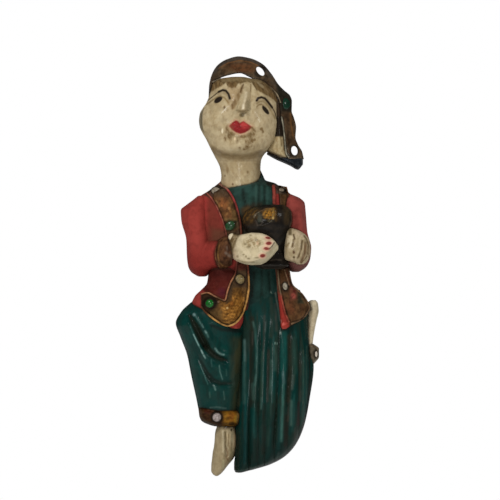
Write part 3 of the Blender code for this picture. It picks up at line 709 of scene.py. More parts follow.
# The jacket's two tails flare out over the thigh and the skirt. Each is a thick lip of papier-mache
# painted red, which shows as a thin margin outside the broad trimmed band.
TAIL_LEFT_ROWS = rows(
    (268, 209, 248, 20, 50), (283, 207, 249, 10, 55), (290, 201, 249.5, BEHIND, 57),
    (296, 195, 249, BEHIND, 59), (303, 192, 248, BEHIND, 61), (313, 202, 246, BEHIND, 61),
    (322, 216, 243, 20, 60), (328, 232, 240, 30, 58))
TAIL_RIGHT_ROWS = rows(
    (268, 275, 289, 20, 48), (283, 276.5, 291, 10, 53), (290, 277, 299, BEHIND, 55),
    (297, 277.8, 304, BEHIND, 56), (306, 278.8, 309, BEHIND, 56), (312, 279.4, 308, BEHIND, 56),
    (320, 280.2, 299, 10, 55), (326, 280.6, 289.5, 18, 54), (328.6, 282, 286, 24, 53))
tail_left = piece("jacket_tail_left", body(TAIL_LEFT_ROWS, sides=160, step=0.7))
coat = Coat(tail_left, *RED)
# Painted shadow under the forearm, on the tail's upper part.
coat.lay(coat.within([(203, 260), (242, 260), (238, 275), (232, 284), (229, 292), (226, 302), (215, 298),
                      (207, 295), (203, 290)], 1.4) * 0.95, *RED_IN_SHADOW)
coat.lay(coat.blob(222, 292, 4, 4, 0, 0.7) * 0.5, 74, 26, 42)
coat.lay(coat.mottle(4, 20, 0.45, 0.75) * coat.within([(205, 270), (240, 262), (226, 300), (207, 294)], 2)
         * 0.4, 92, 40, 32)
# More painted shadow at the top, just under the forearm.
coat.lay(ease(coat.down, 286, 272) * 0.6, 48, 14, 10)
coat.finish(red_lacquer)
tail_right = piece("jacket_tail_right", body(TAIL_RIGHT_ROWS, sides=160, step=0.7, front=9))
coat = Coat(tail_right, 66, 46, 30)
coat.lay(ease(coat.across, 289.6, 288.4) * ease(coat.down, 288, 294), 138, 46, 38)
coat.lay(ease(coat.down, 300, 290) * ease(coat.across, 284, 282) * 0.7, 110, 70, 54)
# Painted highlights on the red margin's rounded end.
coat.dabs((283, 323.6, 0.9, 1.8, 20, 0.5, 0.7, (196, 100, 88)),
          (280.8, 321, 0.7, 1.8, 0, 0.5, 0.7, (172, 112, 100)))
coat.lay(coat.blob(292.5, 292, 4.5, 6), 140, 58, 46)
coat.lay(coat.within([(296, 286), (310, 292), (310, 306), (302, 304)], 1.5), 46, 52, 44)
coat.finish(red_lacquer)

# The jacket's trimmed edges: broad bands of brown and gold, built up in lacquer putty, with a rolled
# cord of putty along each side. The cords are gold on the tails and red beside the shirt.
BAND_RAISE = 2.2
BAND_SUNK = 3.0
CORD = 1.0
CORD_STEP = 1.2
CLOTH_DEPTH = 60


def tree_of(*made):
    """A surface to lay things on, made from finished pieces."""
    joined = bmesh.new()
    for each in made:
        joined.from_mesh(each.data)
    found = BVHTree.FromBMesh(joined)
    joined.free()
    return found


def depth_on(tree, across, down):
    """Depth in modules of the surface that a viewer sees at this place, or of the nearest to it."""
    start = Vector(world((across, down, 2 * MODULES_TALL)))
    place = tree.ray_cast(start, Vector((0, 1, 0)))[0]
    if place is None:
        place = tree.find_nearest(Vector(world((across, down, CLOTH_DEPTH))))[0]
    return -place.y / MODULE


def band(tree, one_edge, other_edge, across, step):
    """A raised band that lies on the surface between two edges drawn on the sheet."""
    length = np.linalg.norm(np.diff(np.asarray(one_edge, float), axis=0), axis=1).sum()
    form = bmesh.new()
    bmesh.ops.create_grid(form, x_segments=across, y_segments=max(6, round(length / step)), size=1)
    grid = np.array([v.co for v in form.verts]) / 2 + 0.5
    place = through(one_edge, grid[:, 1])
    place += grid[:, :1] * (through(other_edge, grid[:, 1]) - place)
    crown = 1 - np.abs(2 * grid - 1)[:, :2].max(axis=1) ** 10
    depth = np.array([depth_on(tree, *p) for p in place]) + BAND_RAISE * crown
    for vert, co in zip(form.verts, world(np.column_stack([place, depth]))):
        vert.co = co
    bmesh.ops.smooth_vert(form, verts=form.verts, factor=0.5, use_axis_y=True)
    sunken = bmesh.ops.extrude_face_region(form, geom=form.faces[:], use_keep_orig=True)["geom"]
    sunken = [item for item in sunken if isinstance(item, bmesh.types.BMVert)]
    bmesh.ops.translate(form, verts=sunken, vec=(0, BAND_SUNK * MODULE, 0))
    bmesh.ops.recalc_face_normals(form, faces=form.faces)
    return form


def cord(tree, route, radius=CORD, lift=BAND_RAISE * 0.6):
    """A round cord that follows the surface along a route drawn on the sheet."""
    length = np.linalg.norm(np.diff(np.asarray(route, float), axis=0), axis=1).sum()
    places = through(route, np.linspace(0, 1, max(6, round(length / CORD_STEP))))
    depth = np.array([depth_on(tree, *p) for p in places]) + lift
    for _ in range(2):
        depth[1:-1] = (depth[:-2] + depth[1:-1] * 2 + depth[2:]) / 4
    curve = bpy.data.curves.new("cord", "CURVE")
    curve.dimensions = "3D"
    curve.bevel_depth = radius * MODULE
    curve.bevel_resolution = 3
    curve.use_fill_caps = True
    spline = curve.splines.new("POLY")
    spline.points.add(len(places) - 1)
    for point, co in zip(spline.points, world(np.column_stack([places, depth]))):
        point.co = (*co, 1)
    holder = bpy.data.objects.new("cord", curve)
    mesh = bpy.data.meshes.new_from_object(holder)
    form = bmesh.new()
    form.from_mesh(mesh)
    bmesh.ops.remove_doubles(form, verts=form.verts, dist=WELD)
    bmesh.ops.recalc_face_normals(form, faces=form.faces)
    bpy.data.objects.remove(holder)
    bpy.data.meshes.remove(mesh)
    return form


gold_lacquer = lacquer("gold_lacquer", cloudy=0.7, gloss=0.42, lumps=0.45, metal=0.06, ridge_wear_and_light=0.2, shine=0)
trim_lacquer = lacquer("trim_lacquer", cloudy=0.5, gloss=0.4, lumps=0.35, ridge_wear_and_light=0.3, shine=0.015)
cloth = tree_of(chest, tail_left, tail_right, skirt, bent_leg)

BAND_LEFT = [(214, 187), (213, 198), (219, 211), (224, 224), (227, 242)]
BAND_LEFT_INNER = [(220, 184), (229, 192), (236, 206), (240.5, 226), (241.5, 242)]
BAND_RIGHT = [(277, 185), (279, 194), (280, 208)]
BAND_RIGHT_OUTER = [(286, 187), (288, 196), (287, 208)]
TAIL_UPPER = [(237, 262), (235.6, 273), (231, 282), (228, 290), (224.8, 300), (215, 296), (207.6, 292.6),
              (201.4, 294)]
TAIL_LOWER = [(247.4, 262), (248.4, 276), (248.8, 286), (247.6, 296), (245.6, 305), (242.8, 312.6),
              (239.6, 318.2), (236, 322), (232, 324.4), (228, 325.2), (223.6, 324), (218, 321),
              (212, 317), (206, 311.6), (201.6, 306)]
FLAP_INNER = [(277.6, 266), (278.6, 280), (280.4, 292), (282.4, 302), (285, 312), (289, 321.6)]
FLAP_OUTER = [(288, 266), (291, 283), (303, 296), (308.5, 307), (303, 317), (291, 323.5)]

band_front_left = piece("band_front_left", band(cloth, BAND_LEFT, BAND_LEFT_INNER, across=36, step=0.6))
coat = Coat(band_front_left, 96, 62, 33)
coat.lay(ease(coat.down, 201, 193) * 0.95, 76, 60, 44)
coat.lay(coat.blob(223.6, 204, 4.2, 5.5, -20, 0.6) * 0.8, 122, 72, 36)
coat.lay(coat.mottle(2.2, 11, 0.5, 0.8, 1.8) * ease(coat.down, 196, 201) * 0.5, 132, 88, 46)
coat.lay(coat.mottle(2.2, 12, 0.5, 0.8, 1.8) * 0.5, 66, 44, 22)
coat.lay(coat.within([(229, 199), (235, 206), (238.6, 219), (233, 219)], 2) * 0.5, 88, 72, 38)
coat.lay(ease(coat.down, 217, 220) * ease(coat.down, 223, 221) * 0.6, 112, 90, 52)
coat.lay(ease(coat.down, 229, 232) * 0.85, 68, 48, 30)
coat.lay(coat.blob(230.8, 226, 6.4, 5.6, soft=0.3) * 0.9, 34, 36, 16)
coat.dabs((217, 202.4, 0.9, 2, -20, 0.5, 0.7, (138, 106, 66)),
          (219.4, 206, 0.8, 1.8, -20, 0.5, 0.6, (134, 98, 58)),
          (222, 206, 0.8, 1.2, 0, 0.5, 0.8, (156, 98, 48)),
          (229, 208.6, 1.2, 1.3, 0, 0.5, 0.8, (158, 114, 68)),
          (227, 214, 1, 1.2, 0, 0.5, 0.5, (140, 100, 56)), (235.4, 222, 2.4, 1.2, 0, 0.4, 0.7, (28, 54, 28)))
coat.strokes(([(237.8, 222), (238.6, 235)], 2.4, 0.9, 0.8, (92, 74, 56)),
             ([(232, 233), (238, 236)], 4, 1.6, 0.6, (96, 80, 58)))
coat.finish(gold_lacquer)

band_front_right = piece("band_front_right", band(cloth, BAND_RIGHT, BAND_RIGHT_OUTER, across=22, step=0.5))
coat = Coat(band_front_right, 74, 50, 28)
coat.lay(coat.mottle(3, 13, 0.45, 0.7) * 0.6, 98, 70, 40)
coat.strokes(([(285, 194), (284.6, 207)], 2.4, 1, 0.6, (102, 72, 40)),
             ([(277.6, 188), (277.8, 206)], 1.4, 0.6, 0.8, (56, 30, 20)))
coat.lay(coat.blob(281, 190, 6, 4, 30, 0.4) * 0.85, 84, 74, 62)
coat.finish(gold_lacquer)

band_tail_left = piece("band_tail_left", band(cloth, TAIL_UPPER, TAIL_LOWER, across=70, step=0.6))
coat = Coat(band_tail_left, 88, 62, 30)
coat.lay(coat.blob(234, 307, 11, 13, 24, 0.7) * 0.85, 140, 92, 34)
coat.lay(coat.mottle(1.7, 14, 0.5, 0.72) * 0.5 * ease(coat.down, 292, 300) * ease(coat.across, 218, 226),
         186, 132, 60)
coat.lay(coat.mottle(1.5, 15, 0.5, 0.75) * 0.6, 70, 44, 18)
coat.lay(ease(coat.across, 224, 208) * 0.85, 56, 36, 24)
coat.lay(ease(coat.down, 288.4, 286.4) * 0.75, 66, 50, 34)
coat.lay(coat.within([(229, 286), (233, 286), (232, 300), (226, 304), (226, 299)], 1.2) * 0.8, 58, 44, 28)
coat.lay(coat.within([(206, 306), (222, 310), (222, 318), (210, 313)], 2) * 0.6, 92, 70, 38)
for rim in (TAIL_UPPER, TAIL_LOWER):
    coat.lay(coat.line(rim, 3.6, 1.4) * 0.85, 30, 18, 8)
coat.lay(coat.blob(210.4, 302.4, 7.6, 7, soft=0.3), 24, 18, 8)
coat.lay(coat.blob(240, 279.4, 6, 6.6, soft=0.3) * 0.8, 42, 28, 16)
coat.lay(ease(coat.down, 272, 268), 84, 38, 26)
coat.dabs((227.5, 307.6, 1, 1, 0, 0.5, 0.9, (206, 168, 108)),
          (233.4, 299, 1, 2.4, -10, 0.5, 0.8, (178, 122, 54)),
          (232, 303, 1.6, 2, 0, 0.6, 0.7, (172, 108, 44)),
          (224.6, 308.6, 1.4, 0.8, 40, 0.5, 0.7, (166, 122, 60)),
          (238.6, 314.6, 0.7, 1.6, 20, 0.5, 0.6, (164, 118, 60)),
          (218.6, 301.4, 0.9, 0.9, 0, 0.5, 0.8, (116, 90, 74)),
          (212, 317, 1, 0.9, 0, 0.5, 0.8, (116, 84, 74)))
coat.finish(gold_lacquer)

band_tail_right = piece("band_tail_right", band(cloth, FLAP_INNER, FLAP_OUTER, across=56, step=0.6))
coat = Coat(band_tail_right, 74, 48, 26)
coat.lay(coat.mottle(5, 16, 0.5, 0.75) * 0.5, 94, 66, 38)
coat.lay(coat.blob(290, 307, 4.5, 6.5, -20, 0.7) * 0.6, 98, 54, 30)
coat.lay(coat.mottle(2.4, 17, 0.5, 0.8) * 0.5, 48, 32, 18)
coat.lay(coat.within([(289, 284), (297, 286), (297, 299), (290, 300)], 1.6) * 0.7, 100, 50, 38)
coat.lay(coat.within([(297, 286), (310, 292), (310, 304), (297, 303)], 1.4) * 0.9, 40, 42, 28)
coat.lay(coat.line(FLAP_OUTER[2:], 4.6, 1.4) * 0.7, 96, 68, 42)
coat.dabs((293.2, 295.4, 2.2, 2.6, 0, 0.5, 0.9, (140, 66, 56)),
          (294, 291, 1.4, 1.4, 0, 0.5, 0.9, (68, 18, 14)),
          (297.2, 290, 0.8, 2.6, 8, 0.5, 0.8, (110, 76, 62)), (285.6, 286.6, 4, 6, 0, 0.4, 0.8, (48, 34, 18)))
coat.strokes(([(284.5, 270), (286.5, 276), (288, 281), (289, 285)], 1, 0.5, 0.8, (142, 112, 86)),
             ([(286.4, 270), (289.6, 281)], 1.6, 0.8, 0.7, (92, 44, 28)))
coat.finish(gold_lacquer)

TRIMS = (
    ("shoulder_left", [(208, 192.5), (211, 190), (215, 187)], 0.8, (78, 62, 48)),
    ("front_left_outer", [(206.5, 193), (211, 197.4), (216, 205), (220, 213.4), (223, 221), (225.8, 230.6),
                          (227.8, 241)],
     0.85, (150, 82, 68)),
    ("front_left_inner", BAND_LEFT_INNER, 1.35, (156, 62, 58)),
    ("front_right_inner", [(273.6, 186), (274, 194), (274.2, 206)], 1.7, (134, 58, 48)),
    ("front_right_edge", BAND_RIGHT_OUTER, 0.8, (138, 90, 54)),
    ("tail_left_outer", TAIL_LOWER, 1.1, (188, 140, 78)),
    ("tail_left_inner", TAIL_UPPER, 0.9, (156, 104, 70)),
    ("tail_right_inner", FLAP_INNER, 0.9, (156, 74, 58)),
    ("tail_right_outer", FLAP_OUTER, 1.1, (112, 80, 52)),
)
for name, route, radius, colour in TRIMS:
    coat = Coat(piece("trim_" + name, cord(cloth, route, radius)), *colour)
    coat.lay(coat.mottle(3, 18, 0.5, 0.75) * 0.5, *(0.6 * part for part in colour))
    if name == "front_left_inner":
        coat.lay(ease(coat.down, 208, 216) * 0.8, 104, 62, 44)
        coat.lay(ease(coat.down, 191, 187) * 0.8, 164, 122, 100)
    if name == "tail_left_inner":
        coat.lay(ease(coat.across, 214, 218) * ease(coat.across, 226, 222), 74, 40, 18)
    if name.startswith("tail_left"):
        coat.lay(ease(coat.down, 278, 272) * 0.9, 108, 46, 40)
        coat.lay(ease(coat.across, 212, 206) * ease(coat.down, 300, 306) * 0.9, 70, 28, 18)
    if name == "tail_right_inner":
        coat.lay(ease(coat.down, 297, 291), 116, 96, 72)
    coat.finish(trim_lacquer)

# The sleeves: each arm is moulded in one, the upper arm hanging and the forearm bent up to hold the
# pot. They are painted the jacket's red, with painted shade inside the elbow and under the forearm.
GRAIN = 0.9
SMOOTHINGS = 3


def moulded(*forms):
    """Several forms joined under one even skin, as wet paper is smoothed over its core."""
    clay = bpy.data.meshes.new("clay")
    joined = bmesh.new()
    for form in forms:
        form.to_mesh(clay)
        form.free()
        joined.from_mesh(clay)
    joined.to_mesh(clay)
    joined.free()
    holder = bpy.data.objects.new("clay", clay)
    bpy.context.scene.collection.objects.link(holder)
    skin = holder.modifiers.new("skin", "REMESH")
    skin.mode = "VOXEL"
    skin.voxel_size = GRAIN * MODULE
    mesh = bpy.data.meshes.new_from_object(holder.evaluated_get(bpy.context.evaluated_depsgraph_get()))
    bpy.data.objects.remove(holder)
    bpy.data.meshes.remove(clay)
    smooth = bmesh.new()
    smooth.from_mesh(mesh)
    bpy.data.meshes.remove(mesh)
    for _ in range(SMOOTHINGS):
        bmesh.ops.smooth_vert(smooth, verts=smooth.verts, factor=0.5, use_axis_x=True, use_axis_y=True,
                              use_axis_z=True)
    for vert in smooth.verts:
        vert.co.y = min(vert.co.y, 0)
    return smooth


sleeve_left = piece("sleeve_left", moulded(
    body(rows(
        (195.5, 198, 205, BEHIND, 36), (200, 192.6, 208, BEHIND, 43), (205, 186, 209, BEHIND, 47),
        (210, 180.6, 210, BEHIND, 50), (220, 181.2, 210, BEHIND, 52), (240, 186.2, 212, BEHIND, 53),
        (256, 186.8, 212, BEHIND, 53), (266, 188, 212, BEHIND, 51), (272, 191, 211, BEHIND, 46),
        (276.6, 198, 206, BEHIND, 40))),
    body(columns(
        (194, 248, 271, 12, 48), (205, 241, 272, 20, 54), (213, 240, 268.5, 28, 60),
        (221, 241, 267, 34, 65), (231, 243, 264.5, 40, 68)))))
coat = Coat(sleeve_left, 142, 54, 47)
coat.lay(coat.mottle(16, 21, 0.4, 0.8) * 0.3, 126, 46, 40)
# Painted shade where the upper arm meets the chest.
coat.lay(ease(coat.across, 203, 210) * ease(coat.down, 196, 204) * ease(coat.down, 246, 240) * 0.8,
         100, 42, 33)
coat.lay(ease(coat.down, 240, 262) * 0.75, 116, 36, 31)
# Painted shade inside the elbow and on the forearm's underside.
coat.lay(ease(coat.across, 206, 212) * ease(coat.down, 242, 236) * 0.8, 92, 34, 28)
coat.lay(ease(coat.down, 264, 271) * ease(coat.across, 208, 216), 62, 18, 12)
coat.finish(red_lacquer)

sleeve_right = piece("sleeve_right", body(rows(
    (194, 286, 291, BEHIND, 34), (198, 282, 300, BEHIND, 42), (203, 281, 304.8, BEHIND, 47),
    (212, 281, 305.8, BEHIND, 50), (232, 283, 307.5, BEHIND, 52), (248, 285, 311.3, BEHIND, 54),
    (258, 285, 310.4, BEHIND, 54), (265, 286, 307.8, BEHIND, 50), (269.4, 288, 303.6, BEHIND, 45),
    (272, 292, 299, BEHIND, 40))))
coat = Coat(sleeve_right, 141, 64, 57)
coat.lay(coat.mottle(14, 22, 0.4, 0.8) * 0.4, 120, 52, 46)
coat.lay(ease(coat.down, 240, 262) * 0.85, 104, 72, 68)
coat.strokes(([(302.6, 204), (304, 228)], 3, 1.4, 0.5, (128, 68, 62)),
             ([(296, 210), (297, 228)], 4, 2, 0.5, (98, 36, 32)))
coat.finish(red_lacquer)

# The sleeve's turned-back cuff: a ring of brown and gold lacquer round the wrist, dark where the hand
# comes out of it.
cuff_sleeve = piece("cuff_sleeve", body(columns(
    (213.8, 250, 259, 34, 57), (214.8, 245.6, 263, 32, 61), (217, 242.2, 266.4, 32, 64.5),
    (221, 239, 268.4, 34, 67.5), (225.6, 236.6, 268.2, 37, 69), (229.2, 237.4, 266.4, 40, 69.5),
    (232, 242, 264.5, 44, 68)), sides=120, step=0.5))
coat = Coat(cuff_sleeve, 82, 52, 32)
coat.lay(ease(coat.down, 246, 240) * 0.85, 104, 72, 48)
coat.lay(coat.mottle(4, 23, 0.5, 0.75) * 0.6, 92, 60, 34)
coat.lay(coat.mottle(2.2, 24, 0.5, 0.8, 2) * 0.5, 48, 28, 14)
coat.strokes(
    ([(217, 243), (215.2, 250), (215, 256), (216.4, 262), (219.6, 266)], 1.5, 0.6, 0.95, (156, 104, 70)),
    ([(219.6, 245), (218.4, 251), (218.2, 256), (219.6, 262), (223, 265.6)], 1.1, 0.5, 0.8, (124, 90, 48)),
    ([(216.2, 244), (216.6, 254), (217.4, 262)], 1, 0.5, 0.8, (44, 22, 10)),
    ([(228.6, 240), (229, 250)], 2.2, 0.9, 0.9, (48, 28, 14)),
    ([(227, 247), (227.4, 250)], 1.6, 0.7, 0.6, (106, 88, 74)),
    ([(226, 253), (230, 256)], 2.6, 1, 0.6, (110, 96, 84)),
    ([(222, 262), (231, 265)], 4, 1.6, 0.7, (40, 24, 14)))
coat.finish(gold_lacquer)

# The head: a doll-like folk face moulded with its neck, a sharp wedge of a nose, full lips and a round
# chin. It is coated in cream gesso and varnish, then the eyes, brows and hair are painted with a brush.
FACE_DEPTH = 64.0
CREAM = (172, 155, 122)
NOSE_TOP, NOSE_TIP = 88, 111
LID_LEFT = [(207, 101.5), (213, 97), (219, 92.6), (223, 91), (226, 91.8), (228.6, 95), (230, 99.6)]
LID_RIGHT = [(256.6, 101.6), (258, 99.3), (261.5, 98.3), (265, 99.5), (268, 103), (272, 108),
             (275, 113.5), (277, 121)]
LIPS = [(229.2, 127), (232.6, 123.4), (236, 121.3), (238.4, 122.4), (240, 124.2), (241.6, 122.8),
        (243.6, 122.2), (247, 124.4), (252.4, 128), (249, 131.2), (245, 133.6), (240.6, 134.8),
        (236, 133.4), (232, 130.6)]
LIP_LINE = [(231.5, 127.4), (236, 127), (240, 128.2), (245, 127.8), (250.5, 128.4)]


def face_relief(across, down):
    """Nose wedge, lips, eye hollows, cheeks and chin of a face that leans to the viewer's right."""
    def soft(x, y, wide, high):
        return np.exp(-(((across - x) / wide) ** 2) - ((down - y) / high) ** 2)

    along = np.clip((down - NOSE_TOP) / (NOSE_TIP - NOSE_TOP), 0, 1)
    left, ridge, right = 244.6 - 8.0 * along, 248.2 - 4.4 * along, 250.8 - 1.0 * along
    flank = np.minimum((across - left) / (ridge - left), (right - across) / (right - ridge))
    nose = (1.0 + 8.5 * along) * np.clip(flank, 0, 1) ** 0.85
    nose *= ease(down, NOSE_TIP + 3.2, NOSE_TIP) * ease(down, NOSE_TOP - 4, NOSE_TOP + 2)
    inside = gap_inside(across, down, LIPS)
    lips = (3.0 * (1 - np.exp(-np.clip(inside, 0, 9) / 2))
            - 1.0 * near(across, down, LIP_LINE, 1) * (inside > 0))
    return (
        nose + lips
        - 2.4 * soft(219, 100, 9, 6)
        - 2.4 * soft(264, 108, 8, 6)
        + 1.8 * soft(217, 120, 12, 9)
        + 1.8 * soft(262, 126, 11, 9)
        + 3.0 * soft(240, 146, 13, 6)
        - 0.8 * soft(241, 117, 5, 3)
    )


head = piece("head", body(rows(
    (77.3, 229, 246, 10, 44), (78.4, 221, 251, 8, 47), (80.2, 215.5, 262, 6, 50), (84, 211.5, 268, 0, 56),
    (90, 210, 274, BEHIND, 60), (96, 209, 277.5, BEHIND, 62.5), (103, 206.3, 278.5, BEHIND, FACE_DEPTH),
    (109, 202.3, 279, BEHIND, FACE_DEPTH), (114, 199.8, 279, BEHIND, FACE_DEPTH),
    (121, 199, 278.5, BEHIND, FACE_DEPTH), (127, 199.8, 278, BEHIND, FACE_DEPTH),
    (133, 202.5, 277.3, BEHIND, 63.5), (139, 206, 276, BEHIND, 62.5), (145, 208.9, 272.8, BEHIND, 61),
    (150, 211.3, 268.5, BEHIND, 58.5), (153.4, 213.2, 265, BEHIND, 54), (157, 215, 262.4, BEHIND, 48.5),
    (161, 217.2, 261, BEHIND, 46), (168, 220.1, 260.5, BEHIND, 45.5), (176, 221.2, 260.5, BEHIND, 45),
    (188, 220, 262, BEHIND, 44.5), (193, 224, 258, BEHIND, 42)),
    sides=380, step=0.65, relief=face_relief), sharp=70)
coat = Coat(head, *CREAM)
coat.lay(coat.mottle(13, 31, 0.35, 0.8) * 0.5, 160, 142, 106)
coat.lay(coat.mottle(6, 32, 0.5, 0.85) * 0.4, 188, 174, 140)
coat.lay(coat.mottle(2.6, 35, 0.62, 0.8) * 0.3, 140, 116, 78)
hair = coat.mottle(1.8, 33, 0.25, 0.65, 2.6)
hairline = np.interp(coat.across,
                     [206, 212, 217, 222, 226, 228, 232, 236, 238.5, 241, 246, 252, 256, 262, 266, 270,
                                   275, 278.5],
                     [93, 92, 89, 86.5, 83.6, 88, 89, 88.4, 84, 84.6, 82.6, 84, 90.6, 93.6, 96, 98, 101.6,
                      106])
tuft = ease(coat.down, hairline + 1.2, hairline - 1.2) * coat.facing
coat.lay(tuft * 0.9, 110, 88, 54)
coat.lay(tuft * hair * 0.8, 78, 58, 30)
coat.lay(coat.line([(224, 81), (240, 79.6), (260, 81.6)], 4.4, 1.6) * 0.6, 134, 116, 82)
coat.strokes(
    ([(230, 84), (231.6, 88)], 2.6, 1, 0.7, (98, 74, 42)),
    ([(234.6, 83), (235, 88)], 2.2, 1, 0.6, (104, 80, 46)),
    ([(240, 81), (240.4, 85)], 2, 0.9, 0.5, (112, 88, 54)),
    ([(213, 84), (214, 91)], 2, 0.9, 0.5, (110, 84, 50)),
    ([(218, 83), (218.4, 88)], 1.6, 0.8, 0.5, (112, 86, 52)),
    ([(258, 83.6), (262.6, 88)], 1.8, 0.8, 0.6, (166, 150, 118)),
    ([(262, 86), (268.6, 93)], 1.6, 0.8, 0.5, (158, 140, 106)),
    ([(255, 85), (260, 91), (266, 94)], 2.4, 1, 0.7, (112, 90, 56)),
    ([(265, 88.4), (271, 95), (276, 101)], 2.6, 1, 0.7, (106, 82, 50)),
    ([(268, 84), (272, 88)], 3, 1.2, 0.6, (92, 72, 46)),
    ([(272.6, 90), (276, 96), (278.4, 102)], 1.3, 0.6, 0.85, (56, 40, 24)))
# Painted shade on the left of the nose and down its left flank.
coat.lay(coat.within([(228, 90), (241, 89), (236, 102), (229, 104)], 3.5) * 0.4, 146, 114, 72)
coat.lay(coat.within([(241.6, 86), (243.8, 86.6), (242.4, 94), (240, 100), (237.6, 105), (234.8, 109),
                      (232.6, 111.4), (231, 110), (231, 106.4), (234.6, 100),
                      (238.6, 92.6)], 1.2) * (0.5 + 0.3 * hair), 112, 86, 50)
# Nose: painted shade on its edges and tip's right, a painted highlight on its ridge, painted shadow under it.
coat.strokes(
    ([(243.4, 85.4), (242, 89), (240.4, 93.4)], 1.3, 0.6, 0.85, (68, 46, 24)),
    ([(232.2, 106), (232.4, 109.6)], 1.6, 0.8, 0.6, (96, 68, 36)),
    ([(250.9, 85.6), (250.6, 92)], 1.3, 0.6, 0.8, (104, 80, 46)),
    ([(250.6, 92), (250.4, 101)], 1.2, 0.8, 0.5, (124, 102, 66)),
    ([(246.4, 94), (244.6, 102), (243.2, 109.4)], 2.6, 1.3, 0.75, (206, 192, 162)),
    ([(243.2, 106.4), (243, 109.6)], 1.6, 0.8, 0.8, (226, 214, 188)),
    ([(247.6, 103), (248.6, 107), (248, 110.4)], 2.4, 1.1, 0.6, (136, 124, 92)),
    ([(236.6, 111.4), (242.6, 112.8), (248.4, 111.6)], 1.8, 0.8, 0.75, (114, 100, 70)),
    ([(240.4, 115), (242, 116.4), (246, 113.4)], 1.8, 0.8, 0.6, (116, 102, 70)))
coat.dabs((242, 116.3, 2.5, 1.9, 0, 0.5, 0.92, (80, 68, 42)))
for lid, thick, under in (
        (LID_LEFT, slice(2, 7), [(206.5, 105), (212.4, 101), (217, 98), (220.4, 96.8), (224.4, 98.6),
                                 (228.4, 103.4)]),
        (LID_RIGHT, slice(0, 6), [(256.8, 107.8), (258.6, 105.8), (261.4, 105.2), (263.4, 106.8)])):
    shade = [(x, y + 2.4) for x, y in lid[thick]]
    coat.lay(coat.line(shade, 3.0, 1.0) * 0.5, 140, 122, 94)
    coat.lay(coat.line(under, 1.3) * 0.8, 110, 88, 52)
    coat.lay(coat.line(lid, 1.0, 0.5), 44, 32, 18)
    coat.lay(coat.line(lid[thick], 2.3, 0.5), 36, 26, 16)
coat.strokes(
    ([(257, 104.6), (259.6, 102.6), (262.8, 102.2), (266, 104.4), (269, 108.6), (272, 113.6), (275, 119)],
     1.6, 0.7, 0.7,
     (124, 104, 64)),
    ([(225.6, 99), (227.4, 102.4), (229.6, 107)], 1.6, 0.8, 0.6, (132, 108, 68)),
    ([(228.6, 104), (230, 108)], 1.2, 0.7, 0.4, (132, 108, 70)))
coat.dabs((218.4, 100.8, 4.7, 2.6, -33, 0.14, 1, (36, 28, 22)),
          (265.5, 111, 5.2, 2.1, 52, 0.14, 1, (36, 30, 22)),
          (224.6, 108.3, 1.0, 1.6, 0, 0.4, 0.85, (80, 54, 32)),
          (224.8, 106.6, 1.0, 0.8, 0, 0.5, 0.4, (150, 120, 80)))
lips = gap_inside(coat.across, coat.down, LIPS)
coat.lay(ease(lips, -3.2, 0) * coat.facing * 0.45, 196, 146, 118)
coat.lay(ease(lips, -0.6, 0.6) * coat.facing, 139, 38, 38)
# A painted highlight on the upper lip.
coat.lay(ease(lips, 0, 1.2) * coat.blob(244.4, 126.4, 3.4, 3.4, soft=0.5) * 0.75, 188, 68, 64)
coat.lay(ease(lips, 0, 1.2) * coat.blob(240, 131, 7, 2.2, soft=0.5) * 0.4, 118, 18, 22)
coat.lay(coat.line([(238.6, 124.4), (240.4, 128)], 0.9, 0.6) * 0.6, 92, 18, 20)
coat.lay(coat.line(LIP_LINE, 0.7, 0.6) * 0.35, 92, 18, 20)
coat.lay(coat.blob(238, 147, 15, 7, 0, 0.6) * 0.4, 192, 176, 142)
stained = 0.1 + 0.42 * coat.mottle(3, 36, 0.3, 0.7, 1.6)
for across, down, wide, high in ((229, 132.6, 4.4, 6), (252, 138, 4.6, 9), (240, 138, 9, 3),
                                 (250, 147, 5, 3), (232, 142, 4, 4)):
    coat.lay(coat.blob(across, down, wide, high, soft=0.7) * stained, 130, 108, 72)
drips = coat.mottle(1.5, 34, 0.3, 0.6, 1.8)
for across, down, wide, high, turn in ((227.6, 130.6, 1.8, 3.6, 0), (229.4, 137.2, 2.0, 2.4, 0),
                                       (231.6, 134.6, 3, 1.8, 10), (225.2, 139.4, 1.2, 3, 0),
                                       (252.4, 129.4, 2.2, 1.6, 20), (254, 133, 1.9, 3, 0),
                                       (250, 136, 2.2, 2.6, 0), (251.6, 142.4, 2.0, 3.2, 0),
                                       (247, 144, 2.2, 3.6, 0), (247.4, 148.6, 2.0, 1.9, 0),
                                       (254.4, 140.4, 1.4, 1.2, 0), (237.4, 142.6, 1.2, 1.8, 0),
                                       (243, 137.4, 4, 1.4, 0), (261.4, 130, 1.6, 1.6, 0),
                                       (262.6, 132.4, 1.2, 1.4, 0), (239.6, 149.4, 1.2, 1.6, 0),
                                       (244.6, 149.6, 1.8, 1.4, 0)):
    coat.lay(coat.blob(across, down, wide * 1.1, high * 1.1, turn, 0.5) * (0.4 + 0.5 * drips), 106, 82, 48)
# Painted highlights: glints around the mouth and on the chin.
coat.dabs((222.5, 132, 0.9, 2.3, 0, 0.5, 0.85, (232, 220, 188)),
          (235, 139.6, 0.9, 1.6, 0, 0.5, 0.8, (222, 198, 162)),
          (241.4, 141.6, 1.2, 0.9, 0, 0.6, 0.5, (206, 192, 156)),
          (231, 150.6, 3, 0.9, 0, 0.6, 0.5, (196, 184, 152)),
          (238.6, 151, 2, 0.8, 0, 0.6, 0.5, (194, 182, 150)))
